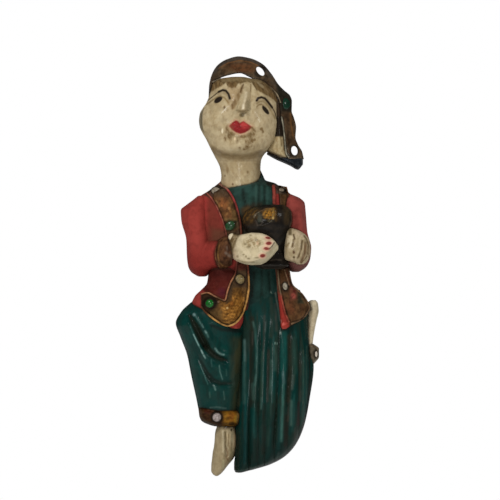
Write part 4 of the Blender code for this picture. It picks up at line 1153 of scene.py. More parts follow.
# Painted shadow under the jaw, and a line of painted shade where the neck begins.
jaw_shadow = [(213, 150), (220, 154.6), (230, 157.4), (242, 158), (253, 156.6), (262, 153.4)]
coat.lay(coat.line(jaw_shadow, 6.4, 1.8) * 0.72, 112, 93, 62)
coat.lay(coat.line([(220, 160.6), (234, 161.6), (256, 161)], 1.2, 0.7) * 0.35, 96, 76, 50)
coat.lay(ease(coat.down, 160, 164) * ease(coat.down, 178, 166) * coat.facing * 0.4, 142, 122, 88)
coat.lay(coat.line([(258, 160), (258.6, 176)], 4, 2) * 0.5, 128, 108, 76)
# Stains on the neck; the two pale dabs are painted highlights.
coat.dabs((227.4, 170, 1.4, 4, -6, 0.6, 0.55, (118, 92, 56)),
          (247.6, 172.4, 1.1, 1.5, 0, 0.5, 0.7, (104, 82, 50)),
          (232.8, 184.4, 1.0, 1.2, 0, 0.5, 0.8, (84, 58, 34)),
          (236.4, 182.6, 1.0, 1.8, 0, 0.6, 0.5, (206, 194, 160)),
          (225, 176, 0.8, 1.1, 0, 0.5, 0.7, (96, 72, 44)),
          (241.4, 166.6, 0.7, 1.2, 0, 0.5, 0.5, (206, 188, 158)))
coat.lay(ease(coat.down, 172, 186) * ease(coat.across, 236, 224) * coat.facing * 0.4, 150, 118, 82)
ear = np.hypot((coat.depth - 46) / 12, (coat.down - 121) / 13.5)
coat.lay(ease(ear, 1.15, 0.85) * ease(coat.across, 203.6, 202) * 0.8, 102, 96, 78)
coat.lay(coat.line([(204, 108.6), (202, 114.6), (201.4, 121), (202.4, 128), (204.2, 133)], 0.8, 0.5) * 0.8,
         76, 68, 52)
coat.lay(coat.within([(276.2, 102), (290, 102), (290, 140), (280, 138), (278, 134), (277.4, 124),
                      (276.2, 113)], 0.6)
         * ease(coat.depth, 26, 38), 60, 46, 32)
coat.lay(coat.within([(277, 117), (290, 117), (290, 140), (280, 138), (278, 134), (277.4, 124)], 1)
         * ease(coat.depth, 26, 38),
         32, 24, 16)
cream_lacquer = lacquer("cream_lacquer", cloudy=0.25, gloss=0.4, lumps=0.35, ridge_wear_and_light=0.1, shine=0.08)
coat.finish(cream_lacquer)

# The headdress: a stiff sheet of papier-mache that stands clear of the crown and hangs down beside
# the cheek, dark brown with a grey rim. Two oval holes are cut right through it.
OUTER = [(208.5, 97), (209, 86), (210.5, 78), (213.4, 70.5), (218.4, 64), (226.6, 59), (238.6, 56),
         (250.6, 58), (263, 64), (271.4, 73.4), (278.6, 84.2), (284.4, 90.2), (290, 95.2), (292, 101),
         (291.8, 110.6), (294, 117.4), (296.2, 127), (295.6, 137), (298.4, 145), (302, 151), (304, 159)]
INNER = [(210.8, 97), (211.2, 88), (212.6, 83), (216, 80.6), (221.5, 77.8), (229, 75.4), (240, 73.5),
         (249, 77.2), (257, 81), (265, 85.4), (271, 90.4), (275, 94.6), (277.6, 99), (278.8, 104),
         (279.6, 111), (280.4, 118), (281.6, 127), (283, 137), (284.4, 144.6), (285.8, 151.6), (288, 159)]
HOLES = ((260.3, 71.2, 5.4, 3.0, -52), (294.4, 150.6, 3.2, 4.7, 8))


def oval_frame(across, down, half_width, half_height, turn):
    """Carries a unit circle in the XY plane to an upright oval at a place on the sheet."""
    return (Matrix.Translation(world((across, down, 0)))
            @ Matrix.Rotation(math.radians(90), 4, "X")
            @ Matrix.Rotation(math.radians(turn), 4, "Z")
            @ Matrix.Diagonal((half_width * MODULE, half_height * MODULE, 1, 1)))


def pierced(form, holes):
    """The form with oval holes drilled through it from front to back."""
    mesh = bpy.data.meshes.new("sheet")
    form.to_mesh(mesh)
    form.free()
    holder = bpy.data.objects.new("sheet", mesh)
    drills = bmesh.new()
    for hole in holes:
        made = bmesh.ops.create_cone(drills, cap_ends=True, segments=48, radius1=1, radius2=1, depth=0.4)
        bmesh.ops.transform(drills, matrix=oval_frame(*hole), verts=made["verts"])
    drill_mesh = bpy.data.meshes.new("drill")
    drills.to_mesh(drill_mesh)
    drills.free()
    drill = bpy.data.objects.new("drill", drill_mesh)
    for each in (holder, drill):
        bpy.context.scene.collection.objects.link(each)
    tool = holder.modifiers.new("drill", "BOOLEAN")
    tool.operation = "DIFFERENCE"
    tool.solver = "EXACT"
    tool.object = drill
    cut = bpy.data.meshes.new_from_object(holder.evaluated_get(bpy.context.evaluated_depsgraph_get()))
    bpy.data.objects.remove(holder)
    bpy.data.objects.remove(drill)
    made = bmesh.new()
    made.from_mesh(cut)
    bpy.data.meshes.remove(cut)
    return made


brown_lacquer = lacquer("brown_lacquer", cloudy=0.6, gloss=0.26, lumps=0.45, ridge_wear_and_light=0.35)
headdress = piece("headdress", pierced(
    body([(*one, *two, 24, 34) for one, two in zip(OUTER, INNER)], sides=110, front=3.2, back=3.2,
         lean=13), HOLES))
coat = Coat(headdress, 84, 69, 51)
coat.lay(coat.mottle(9, 41, 0.4, 0.75) * 0.6, 48, 38, 27)
coat.lay(coat.blob(243, 68, 14, 4.5, 4, 0.7) * 0.7, 98, 56, 26)
coat.lay(coat.within([(284, 112), (292, 112), (297, 138), (300, 150), (290, 150), (286, 135)], 3) * 0.5,
         80, 56, 34)
coat.lay(coat.mottle(5, 42, 0.55, 0.8) * 0.5, 90, 66, 42)
coat.lay(coat.mottle(2, 46, 0.5, 0.8, 2) * 0.4, 44, 32, 20)
coat.lay(coat.line(OUTER[3:10], 6.6, 1.6) * 0.85, 64, 58, 52)
coat.strokes(
    ([(x + 0.6, y + 4.4) for x, y in OUTER[4:9]], 0.9, 0.5, 0.7, (126, 84, 46)),
    ([(268, 74), (276, 86), (282, 92)], 4.4, 1.6, 0.6, (78, 68, 56)),
    ([(290.4, 113), (291, 124), (293, 136)], 1.4, 0.7, 0.7, (118, 80, 40)),
    ([(292.6, 116), (294.4, 126), (294, 138), (297, 146), (301, 154)], 1.6, 0.8, 0.6, (96, 72, 48)),
    ([(287, 112), (287.6, 130), (288.4, 146)], 3, 1.4, 0.7, (50, 36, 22)))
coat.lay(coat.within([(276, 82), (288, 90), (294, 100), (291, 112), (280, 112), (277, 98)], 2) * 0.85,
         30, 30, 23)
for hole in HOLES:
    coat.lay(coat.blob(*hole[:2], hole[2] + 1.8, hole[3] + 1.8, hole[4], 0.25) * 0.85, 34, 30, 24)
coat.lay(coat.line(INNER[2:9], 2.4, 1.0) * 0.75, 44, 34, 24)
coat.finish(brown_lacquer)

brim = tree_of(headdress)
BRIM_LINES = (
    ("crown_edge", [(212.5, 82.6), (216, 81), (221, 79)], 0.8, (150, 136, 112)),
    ("temple_edge", [(269, 87), (274, 91.5), (277.5, 96), (280.5, 103)], 0.9, (156, 140, 112)),
    ("cheek_edge", [(281.4, 117), (283, 126), (284.4, 138), (285.4, 148), (286.4, 154), (288.8, 157.6)], 0.8,
     (150, 145, 126)),
)
for name, route, radius, colour in BRIM_LINES:
    coat = Coat(piece("brim_" + name, cord(brim, route, radius, lift=0.4)), *colour)
    coat.lay(coat.mottle(3, 43, 0.5, 0.75) * 0.5, *(0.6 * part for part in colour))
    coat.finish(trim_lacquer)

# What hangs under the headdress: a cream lock of hair beside the cheek, its upper part painted black,
# and the headdress's turned-under end, painted near-black blue.
side_lock = piece("side_lock", body(rows(
    (99, 274, 280, 12, 40), (117, 274, 282, 8, 42), (130, 273, 284, 8, 43),
    (140, 270, 285.5, 8, 44), (150, 266, 287, 8, 43), (157.5, 277, 289, 12, 40)), sides=120, step=0.7))
coat = Coat(side_lock, 172, 156, 120)
coat.lay(coat.mottle(3.4, 44, 0.45, 0.7) * 0.5, 138, 114, 76)
coat.strokes(([(280.6, 137), (281.6, 146)], 1.6, 0.7, 0.8, (98, 78, 44)),
             ([(283.6, 139), (283.8, 150)], 1.1, 0.6, 0.7, (118, 92, 58)),
             ([(276.6, 139), (277, 150)], 1.8, 0.9, 0.6, (134, 112, 74)),
             ([(270, 146), (273, 151)], 2.4, 1, 0.6, (112, 92, 60)),
             ([(285.4, 138), (286, 152)], 1, 0.5, 0.7, (196, 182, 148)))
coat.lay(ease(coat.down, 138, 136) * ease(coat.depth, 10, 30), 36, 28, 20)
coat.lay(ease(coat.down, 119, 114) * ease(coat.depth, 10, 30) * 0.8, 66, 50, 36)
coat.lay(coat.line([(266, 151), (276, 155), (285, 158)], 2.6, 1.2) * 0.8, 60, 46, 32)
coat.finish(cream_lacquer)

headdress_end = piece("headdress_end", body(columns(
    (267, 152.5, 154.5, 14, 36), (276, 153, 159.5, 14, 38), (284, 154, 163, 14, 38),
    (290, 156.5, 165.7, 14, 38), (298, 157.5, 169.6, 14, 37), (303, 158, 164.5, 16, 32)),
    sides=110, step=0.7))
coat = Coat(headdress_end, 30, 34, 38)
coat.lay(coat.mottle(7, 45, 0.45, 0.8) * 0.6, 42, 50, 56)
coat.lay(ease(coat.across, 284, 276) * 0.8, 34, 28, 22)
coat.finish(brown_lacquer)

# The hands: cream like the face, closed round the pot. The left one is a flat mitten whose four
# fingertips have red nails, and brown strokes part the fingers of the right one.
HAND = (200, 186, 154)
BEVEL = [(274, 240.5), (280, 245), (279, 252), (270, 263), (262, 269), (244, 269), (238, 261.5), (250, 262.4),
         (261, 258), (268.4, 250.4)]
HAND_COLUMNS = columns(
    (228.6, 236, 252, 48, 63), (229.8, 234.2, 256, 47, 66), (232.4, 233.4, 258.5, 48, 69),
    (238, 235, 261.6, 50, 74),
    (245, 234, 264, 52, 79), (252, 232.8, 265, 54, 82), (260, 233.2, 264.5, 56, 84),
    (266, 235, 262, 58, 83), (271, 238, 257.6, 60, 80), (275, 241.5, 253, 63, 77),
    (278, 245.6, 249.4, 66, 73))
hand_left = piece("hand_left", body(
    HAND_COLUMNS, sides=240, step=0.5, front=3.0, back=2.4,
    relief=lambda x, y: -0.9 * np.clip(gap_inside(x, y, BEVEL), 0, 6)))
coat = Coat(hand_left, *HAND)
coat.lay(coat.mottle(6, 51, 0.45, 0.8) * 0.4, 182, 168, 132)
coat.lay(coat.within(BEVEL, 0.8) * 0.55, 164, 158, 132)
coat.lay(coat.blob(253, 243, 9.5, 5.6, 0, 0.5) * (0.25 + 0.6 * coat.mottle(2.2, 52, 0.4, 0.62)), 138, 118, 82)
for across, down, wide, high in ((245.4, 244.2, 1.4, 1.0), (248.4, 246.8, 2.0, 1.2), (256, 240, 1.6, 1.0),
                                 (259.6, 244, 1.0, 1.0), (246, 256.4, 1.0, 1.2), (243.6, 254.6, 1.2, 0.8),
                                 (248.6, 258.4, 1.4, 0.8), (250.6, 235.4, 1.4, 0.8), (256.8, 257.6, 2.4, 0.9),
                                 (237.6, 256.4, 1.2, 1.4)):
    coat.lay(coat.blob(across, down, wide, high, soft=0.6) * 0.7, 112, 98, 66)
wrist = ease(coat.across, 242, 230) * coat.forward
coat.lay(wrist * ease(coat.down, 256, 246) * (0.35 + 0.6 * coat.mottle(3, 54, 0.3, 0.6)), 104, 82, 52)
coat.lay(wrist * ease(coat.down, 246, 256) * 0.75, 136, 104, 84)
coat.lay(coat.line([(238, 260), (244, 261.8), (254, 262)], 1.3) * 0.6, 104, 88, 60)
coat.strokes(([(230.6, 240), (231, 249)], 2.4, 1, 0.8, (96, 78, 52)),
             ([(234.4, 238), (233.6, 246)], 1.4, 0.8, 0.6, (148, 128, 92)),
             ([(229.4, 250), (233, 255)], 2.4, 1.2, 0.7, (118, 104, 88)))
coat.lay(coat.within([(227, 231), (244, 231), (237.4, 239.4), (233.6, 250), (232.6, 258), (227, 258)], 1.2)
         * (0.6 + 0.35 * coat.mottle(2.4, 57, 0.35, 0.65)), 94, 76, 48)
coat.strokes(([(231.6, 238), (231, 246), (231.6, 254)], 1.2, 0.6, 0.6, (62, 46, 28)),
             ([(236, 236), (233.4, 243)], 1, 0.6, 0.5, (140, 120, 86)),
             ([(234.6, 241), (232.8, 250)], 0.8, 0.5, 0.5, (72, 56, 34)))
coat.lay(coat.within([(228, 234.6), (232.8, 232.4), (233.2, 234.6), (230.4, 239.6), (228.4, 238.6)], 0.5),
         214, 200, 170)
NAILS = ((267.8, 238.1, 2.6, 1.1, 10), (268.5, 243.4, 3.0, 1.7, -4), (266.2, 248.6, 2.9, 1.6, 4),
         (262.4, 255.7, 2.7, 1.8, -8))
for across, down, wide, high, turn in NAILS:
    coat.lay(coat.blob(across, down, wide + 1.3, high + 1.2, turn, 0.4) * 0.6, 216, 158, 136)
coat.lay(coat.line([(265.6, 234.2), (269.4, 235)], 1.8) * 0.7, 84, 40, 32)
for across, down, wide, high, turn in NAILS:
    coat.lay(coat.blob(across, down, wide, high, turn, 0.28) * 0.95, 118, 32, 30)
coat.strokes(([(274.4, 241.4), (273.4, 243.8), (270.6, 247)], 1.5, 0.7, 0.7, (214, 204, 176)),
             ([(274.2, 242.8), (271.6, 246.4), (269, 249)], 1.1, 0.4, 0.95, (52, 40, 24)))
coat.dabs((257.4, 243.2, 1.2, 1.6, 0, 0.6, 0.5, (204, 160, 130)),
          (251.2, 241.4, 1.6, 1.1, 0, 0.6, 0.6, (124, 106, 72)),
          (260, 242.6, 1.3, 1.2, 0, 0.6, 0.5, (130, 112, 78)))
coat.lay(coat.line([(277.6, 247), (270.6, 257.6), (262.6, 264)], 1.2) * 0.4, 120, 112, 90)
coat.finish(cream_lacquer)

FINGERS = (
    ([(293, 234.6), (294.2, 239)], 1.4), ([(293, 240), (292, 247)], 2.0), ([(301.6, 241), (300.6, 250)], 2.0),
    ([(300, 252), (297.4, 258)], 1.8), ([(305, 243), (304.2, 253), (300.6, 262)], 2.4),
    ([(303.6, 236), (306.4, 240), (308.2, 246)], 1.4), ([(307.4, 247), (307.2, 254)], 1.4))


def finger_gaps(across, down):
    return sum(-0.9 * near(across, down, route, width * 0.7) for route, width in FINGERS)


hand_right = piece("hand_right", body(rows(
    (228.4, 288, 292, 48, 62), (230, 286.8, 297.4, 45, 66), (233, 286, 303, 43, 69.5),
    (236, 285.6, 306.4, 42, 72), (240, 285, 308.8, 41, 74.5), (245, 284.4, 309.8, 40, 76),
    (251, 284, 310.2, 40, 77),
    (256, 284, 309.4, 41, 76), (259.4, 285, 308, 43, 74), (262.2, 293, 306, 45, 70),
    (264.2, 297, 303, 47, 66)),
    sides=220, step=0.5, front=2.8, back=2.4, relief=finger_gaps))
coat = Coat(hand_right, 174, 158, 128)
coat.lay(coat.mottle(5, 54, 0.45, 0.8, 2) * 0.6, 146, 130, 98)
coat.lay(coat.mottle(2.2, 56, 0.5, 0.8, 3) * 0.3, 118, 100, 68)
coat.dabs((289.4, 240, 3.2, 5, 10, 0.5, 0.7, (202, 187, 156)),
          (297.6, 233, 4.5, 2.2, 20, 0.6, 0.5, (188, 168, 142)),
          (287.6, 237.4, 0.9, 0.8, 0, 0.6, 0.6, (150, 130, 96)))
for route, width in FINGERS:
    coat.lay(coat.line(route, width, 1.0) * (0.65 + 0.35 * coat.mottle(2.5, 55, 0.3, 0.6, 2)), 88, 68, 40)
coat.strokes(
    ([(293.2, 235), (294, 238.4)], 1.1, 0.5, 0.8, (76, 58, 36)),
    ([(301.2, 242), (300.8, 248.6)], 1.5, 0.7, 0.8, (78, 64, 38)),
    ([(288.4, 243.4), (286, 246.6)], 1.7, 0.8, 0.75, (116, 96, 62)),
    ([(291.2, 242), (288.6, 248)], 1.2, 0.6, 0.7, (208, 196, 166)),
    ([(306.4, 256), (303.6, 260), (300.6, 262.6)], 1.2, 0.5, 0.85, (76, 60, 32)),
    ([(306.8, 258), (303.4, 262)], 0.9, 0.5, 0.6, (172, 156, 120)),
    ([(297.6, 238), (297.6, 254)], 1.6, 1.0, 0.35, (134, 120, 90)),
    ([(308.8, 247), (308, 257)], 1.4, 0.7, 0.5, (112, 86, 64)))
coat.lay(coat.within([(287.8, 228), (291.4, 228), (291.4, 235.4), (288, 235.4)], 0.8) * 0.85, 86, 72, 46)
coat.strokes(([(305, 244), (304.4, 253), (301, 261)], 3.4, 1.4, 0.45, (124, 96, 72)),
             ([(286.4, 236), (285.6, 246)], 1.2, 0.7, 0.6, (132, 112, 80)),
             ([(287, 249), (290.4, 258)], 1.4, 0.8, 0.4, (142, 122, 92)))
coat.dabs((293.3, 252.2, 1.2, 1.7, 8, 0.35, 0.9, (78, 50, 28)),
          (293.4, 257.2, 1.2, 1.2, 0, 0.35, 0.9, (72, 56, 30)))
coat.finish(cream_lacquer)

# The pot: a small round drum-bodied pot held at the chest, almost black, with old gold leaf left in
# patches on its shoulder, a painted highlight on the gold, and a painted grey glint beside it.
POT_DEPTH = 56
POT_SQUASH = 0.73
POT_OUTLINE = (
    (205, 264, 283), (208, 252, 288.5), (213, 245, 291.5), (220, 242.5, 292), (228, 244, 290.5),
    (234, 248, 288), (242, 255, 286), (252, 262, 284), (260, 259, 287), (265, 254, 289),
    (269, 262, 282))
MOUTH = [(254, 218), (256.6, 213.4), (262, 210.2), (268, 208.6), (273.6, 208.4), (276, 212), (275, 218),
         (270, 223), (262, 226), (256.6, 224)]


def mouth_relief(across, down):
    inside = gap_inside(across, down, MOUTH)
    return 0.9 * np.exp(-((inside / 1.1) ** 2)) - 1.6 * ease(inside, 0.6, 3.5)


pot = piece("pot", body(rows(*(
    (down, left, right, POT_DEPTH - POT_SQUASH * (right - left) / 2,
     POT_DEPTH + POT_SQUASH * (right - left) / 2) for down, left, right in POT_OUTLINE)),
    sides=240, step=0.65, back=2.2, relief=mouth_relief))
coat = Coat(pot, 26, 23, 20)
coat.lay(coat.mottle(7, 61, 0.5, 0.8) * 0.5, 40, 33, 25)
coat.lay(coat.blob(249, 214, 9, 9, 0, 0.6) * (0.3 + 0.6 * coat.mottle(2.6, 62, 0.35, 0.65)), 92, 66, 28)
coat.lay(ease(coat.down, 212, 205.6) * ease(coat.across, 262, 252) * 0.85, 40, 42, 32)
coat.strokes(
    ([(255.6, 214.6), (260, 211.6), (265, 209.6), (271, 208.6)], 1, 0.6, 0.6, (104, 82, 54)),
    ([(254, 217.4), (255.4, 215)], 1.8, 0.7, 0.75, (112, 100, 80)),
    ([(255.4, 221), (257.4, 225.4)], 1.2, 0.6, 0.6, (84, 74, 66)),
    ([(257.4, 225.8), (261, 225), (262.6, 221)], 1.2, 0.6, 0.5, (82, 74, 66)),
    # The grey glint, painted highlights.
    ([(258.6, 214), (258.4, 222)], 3, 1.4, 0.6, (66, 72, 62)),
    ([(261.4, 215), (260.6, 221)], 2.4, 1.1, 0.5, (84, 84, 70)))
coat.lay(coat.within([(262.4, 212.4), (266, 209.8), (271, 208.6), (274.6, 208), (275.6, 214),
                      (274.4, 219.4), (268, 219.4),
                      (263.2, 218.2)], 1.2) * (0.5 + 0.3 * coat.mottle(2.0, 63, 0.3, 0.6)), 112, 82, 36)
leaf = coat.blob(268.6, 214, 5, 4.2, 0, 0.7)
coat.lay(leaf * coat.mottle(1.5, 64, 0.46, 0.64) * 0.85, 178, 122, 36)
coat.lay(leaf * coat.mottle(1.3, 65, 0.5, 0.66) * 0.7, 66, 40, 12)
coat.dabs((263.6, 214.4, 1, 1.4, 0, 0.6, 0.7, (146, 104, 44)),
          # A painted highlight on the gold leaf.
          (272.8, 218.4, 0.9, 1.4, 0, 0.5, 0.85, (184, 156, 100)),
          (269.6, 221.4, 2.6, 1, 8, 0.6, 0.6, (90, 82, 60)), (278, 219, 3, 3, 0, 0.7, 0.4, (58, 44, 30)))
coat.strokes(
    # A painted highlight streaked down the gold leaf.
    ([(273, 208.4), (273.4, 214), (273, 217)], 1.4, 0.7, 0.7, (142, 114, 58)),
    ([(275.6, 209), (275.8, 221)], 2, 1, 0.55, (88, 62, 22)),
    ([(264, 219.8), (269, 220), (272, 220.4)], 1, 0.5, 0.6, (34, 26, 16)),
    ([(287, 206.6), (290.6, 210.6), (292, 216), (291.4, 222), (289.6, 227)], 1.5, 0.7, 0.75, (84, 68, 52)),
    ([(285, 207), (287, 213), (286.4, 222)], 6, 2.2, 0.7, (64, 50, 29)),
    ([(270.6, 260.2), (276, 259.4), (281, 260)], 1, 0.5, 0.5, (92, 82, 70)),
    ([(276, 247), (281, 241), (286, 236)], 3, 1.6, 0.5, (44, 45, 42)),
    ([(279, 250), (282.6, 258)], 2.6, 1.3, 0.4, (48, 44, 42)))
pot_lacquer = lacquer("pot_lacquer", cloudy=0.5, gloss=0.34, lumps=0.4, ridge_wear_and_light=0.1, shine=0.1)
coat.finish(pot_lacquer)

# The cuffs: a gold and red-brown ring round the bent leg's ankle, and a plain brown one on the leg
# that is folded back. Both are built up in lacquer putty like the jacket's bands.
leg_cuff = piece("cuff_leg", body([
    (198.4, 408.4, 199.6, 417.6, 2, 38), (200.4, 407.2, 201.4, 421, BEHIND, 42),
    (206, 406.5, 206, 423.8, BEHIND, 44),
    (218, 407.6, 216, 426.6, BEHIND, 46), (230, 408.4, 230, 427.4, BEHIND, 45),
    (236, 409.4, 236.4, 426.4, BEHIND, 43),
    (239.4, 411, 239.4, 423, 4, 40)], sides=180, step=0.5, front=2.8))
coat = Coat(leg_cuff, 46, 26, 11)
coat.lay(coat.mottle(3, 72, 0.45, 0.75) * 0.4, 62, 40, 18)
coat.lay(coat.within([(203, 408), (213, 408), (212, 413), (205, 413)], 1.6) * 0.7, 72, 32, 16)
coat.lay(ease(coat.across, 221, 225) * coat.facing, 112, 76, 20)
coat.dabs((227.4, 417, 3, 4.2, 0, 0.6, 0.8, (144, 100, 28)),
          (231.4, 415.4, 3.4, 4.4, 0, 0.6, 0.7, (128, 76, 22)),
          (235.6, 418.4, 1.5, 3, 0, 0.6, 0.7, (148, 114, 30)),
          (232, 423.4, 3.4, 2, 0, 0.5, 0.8, (36, 24, 10)),
          (226, 423.6, 2.4, 1, 0, 0.6, 0.6, (112, 84, 34)))
coat.lay(coat.mottle(2.6, 71, 0.5, 0.75) * 0.35, 72, 48, 18)
coat.strokes(
    ([(199.4, 420), (208, 425), (216, 427)], 3.4, 1.2, 0.85, (20, 18, 13)),
    ([(201.6, 417), (208, 422), (214, 424.4)], 1.2, 0.6, 0.6, (66, 60, 46)),
    ([(218, 426.6), (230, 427.6), (239, 424)], 2.6, 1.2, 0.7, (44, 32, 14)),
    ([(227, 409), (238, 410)], 3, 1.2, 0.75, (62, 38, 16)),
    ([(199, 408.4), (210, 407)], 2.4, 1, 0.6, (26, 20, 12)),
    ([(216, 409), (220, 408.8)], 1.2, 0.6, 0.8, (112, 118, 106)),
    ([(208, 409.4), (213.6, 410.6)], 1, 0.5, 0.6, (110, 74, 56)),
    ([(237.6, 413), (237.6, 424)], 1.2, 0.6, 0.6, (110, 92, 48)))
coat.lay(coat.blob(217, 416.4, 6.2, 6.2, soft=0.25) * 0.9, 22, 15, 9)
coat.finish(gold_lacquer)

ankle_cuff = piece("cuff_ankle", body(rows(
    (344.5, 306, 314, BEHIND, 28), (349, 306, 319.3, BEHIND, 32), (357, 306, 319.3, BEHIND, 32),
    (364, 306, 314.5, BEHIND, 28)), sides=120, step=0.5))
coat = Coat(ankle_cuff, 110, 100, 82)
coat.lay(coat.line([(309, 345), (316, 346.5), (319, 350)], 1.6, 0.8), 128, 106, 82)
coat.lay(coat.blob(315, 354, 3.6, 5, soft=0.5) * 0.7, 44, 34, 26)
coat.finish(gold_lacquer)

# The feet, cream like the face. One points down below the leg's cuff, with wrinkles painted along it,
# and the other points up behind the hip at the end of the folded leg, whose teal shin is hidden.
foot_left = piece("foot_left", body(rows(
    (418, 215, 238, 0, 36), (427, 216.6, 236.6, 0, 38), (430.4, 215.6, 237.2, BEHIND, 38),
    (434, 214.9, 238.4, BEHIND, 37),
    (440, 214.5, 239, BEHIND, 36), (447, 213.8, 238.6, BEHIND, 34), (453, 212.6, 236.8, BEHIND, 32),
    (460, 211.8, 233, BEHIND, 30), (466, 211.1, 228, BEHIND, 28), (471.4, 211, 223.8, 0, 26),
    (475, 212.6, 220.4, 2, 24),
    (476.6, 215, 218, 5, 20)), sides=180, step=0.65,
    relief=lambda x, y: 1.6 * near(x, y, [(221.5, 430), (223, 450), (221, 470)], 2.6)
    - 1.6 * near(x, y, [(225.6, 432), (225.6, 444), (227, 456)], 1.3)
    - 0.9 * near(x, y, [(229, 434), (228.6, 446)], 1.0) - 0.8 * near(x, y, [(233, 434), (232, 450)], 1.2)))
coat = Coat(foot_left, 158, 143, 112)
coat.lay(coat.mottle(6, 81, 0.4, 0.8, 2) * 0.4, 140, 126, 96)
coat.lay(coat.mottle(1.7, 84, 0.5, 0.8, 5) * 0.35, 124, 106, 74)
coat.strokes(
    ([(222.8, 431), (223.6, 440), (223, 452)], 1.7, 0.8, 0.7, (188, 176, 146)),
    ([(223.6, 460), (223, 468)], 1.6, 0.8, 0.6, (184, 176, 136)),
    ([(219.6, 432), (219, 462)], 2.6, 1.4, 0.4, (142, 124, 92)),
    ([(216, 433), (214.4, 460)], 2, 1, 0.35, (138, 124, 94)),
    ([(225.4, 432), (225.8, 440), (225, 444), (226.4, 449)], 1.2, 0.6, 0.85, (88, 74, 44)),
    ([(227.4, 433), (227.6, 442)], 1.1, 0.5, 0.7, (190, 172, 136)),
    ([(228.8, 434), (228.4, 442), (229.4, 448)], 1.2, 0.6, 0.6, (128, 104, 68)),
    ([(226, 449), (228, 453.4), (226.4, 457.6), (228.4, 461)], 1.3, 0.6, 0.75, (112, 80, 54)),
    ([(231.6, 433), (232.2, 441)], 2.2, 1, 0.5, (176, 166, 134)),
    ([(231.4, 444), (230.6, 449)], 1.4, 0.7, 0.5, (124, 108, 72)),
    ([(235, 434), (235, 446)], 2.2, 1, 0.5, (160, 130, 94)),
    ([(236.8, 440), (236.2, 449)], 1, 0.5, 0.8, (92, 70, 44)),
    ([(231, 450), (231.6, 456)], 3, 1.3, 0.4, (146, 136, 92)),
    ([(229, 458), (225.6, 466)], 1.8, 0.9, 0.4, (132, 108, 74)))
# Painted shadow under the cuff, darkest in the first dab below.
coat.lay(ease(coat.down, 431, 426.6) * ease(coat.across, 221, 225) * 0.85, 62, 50, 34)
coat.dabs((231.4, 429.6, 1, 1.4, 0, 0.5, 0.9, (48, 38, 24)),
          (231.8, 427.6, 1.4, 0.7, 0, 0.5, 0.7, (150, 138, 108)))
coat.lay(ease(coat.across, 234.6, 239) * ease(coat.down, 446, 458) * 0.9, 44, 38, 28)
coat.finish(cream_lacquer)

foot_right = piece("foot_right", body(rows(
    (300.4, 311, 316, 4, 20), (303.4, 307, 318.2, BEHIND, 25), (311, 306, 319, BEHIND, 27),
    (320, 306, 317, BEHIND, 28), (330, 305, 315, BEHIND, 28), (340, 304, 313.4, BEHIND, 27),
    (350, 302, 312.5, BEHIND, 26)),
    sides=120, step=0.7))
coat = Coat(foot_right, 208, 195, 165)
coat.lay(coat.mottle(5, 83, 0.45, 0.8) * 0.4, 160, 146, 118)
# The first stroke is painted shade down the foot's left side.
coat.strokes(
    ([(311.6, 312), (310, 324), (309, 342)], 2.4, 1.2, 0.6, (126, 108, 74)),
    ([(313.6, 312), (312.6, 330)], 2, 1, 0.4, (172, 150, 116)),
    ([(317.6, 304), (318, 311), (315.6, 322)], 1.4, 0.7, 0.4, (150, 146, 120)),
    ([(308, 303), (310.6, 309)], 4, 1.6, 0.9, (64, 44, 30)),
    ([(313.4, 302.4), (314, 306.6)], 0.9, 0.5, 0.5, (206, 196, 162)))
coat.finish(cream_lacquer)

folded_leg = piece("folded_leg", body(rows(
    (340, 296, 312, BEHIND, 26), (380, 292, 311, BEHIND, 30), (415, 284, 304, BEHIND, 28),
    (430, 280, 296, BEHIND, 24)), sides=100, step=1.2))
Coat(folded_leg, *TEAL).finish(teal_lacquer)

# The stones: domed glass set into dark putty rings, green or clear over a pale backing. Each lens is
# where the model's own stone sits, and its ring hides the glue line. A row holds the stone's name, how
# much longer and wider the lens is than its solid, its colour and its kind of glass.
STONES = (
    ("stone_headdress", 1.1, 1.4, (10, 48, 32), "green_glass"),
    ("stone_shoulder_left", 1.6, 1.5, (132, 122, 106), "white_glass"),
    ("stone_shoulder_right", 1.1, 1.1, (148, 136, 118), "pale_glass"),
    ("stone_lapel_left", 1.5, 1.25, (30, 64, 34), "green_glass"),
    ("stone_front_left", 1.15, 1.15, (124, 108, 72), "pale_glass"),
    ("stone_hem_left", 1.1, 1.1, (10, 92, 26), "green_glass"),
    ("stone_front_right", 1.1, 1.1, (146, 138, 120), "white_glass"),
    ("stone_hem_right", 1.1, 1.1, (38, 50, 38), "green_glass"),
    ("stone_leg_cuff", 1.1, 1.1, (150, 138, 134), "white_glass"),
    ("stone_ankle_cuff", 1.0, 0.8, (196, 186, 172), "white_glass"),
)
PUTTY = (40, 30, 20)
RING, RING_GAP = 0.55, 0.2


def stone_frame(name):
    """The frame of one of the model's stones, from its own mesh: centre, and axes by its spread."""
    mesh = frame["nodes"][name].data
    points = np.empty(len(mesh.vertices) * 3)
    mesh.vertices.foreach_get("co", points)
    points = np.unique(np.round(points.reshape(-1, 3), 6), axis=0)
    middle = points.mean(axis=0)
    _, _, axes = np.linalg.svd(points - middle)
    out = Vector(axes[2]) * (-1 if axes[2][1] > 0 else 1)
    side = Vector(axes[0])
    turned = Matrix((side, out.cross(side), out)).transposed().to_4x4()
    turned.translation = Vector(middle)
    half = np.abs((points - middle) @ axes.T).max(axis=0)
    return turned, half


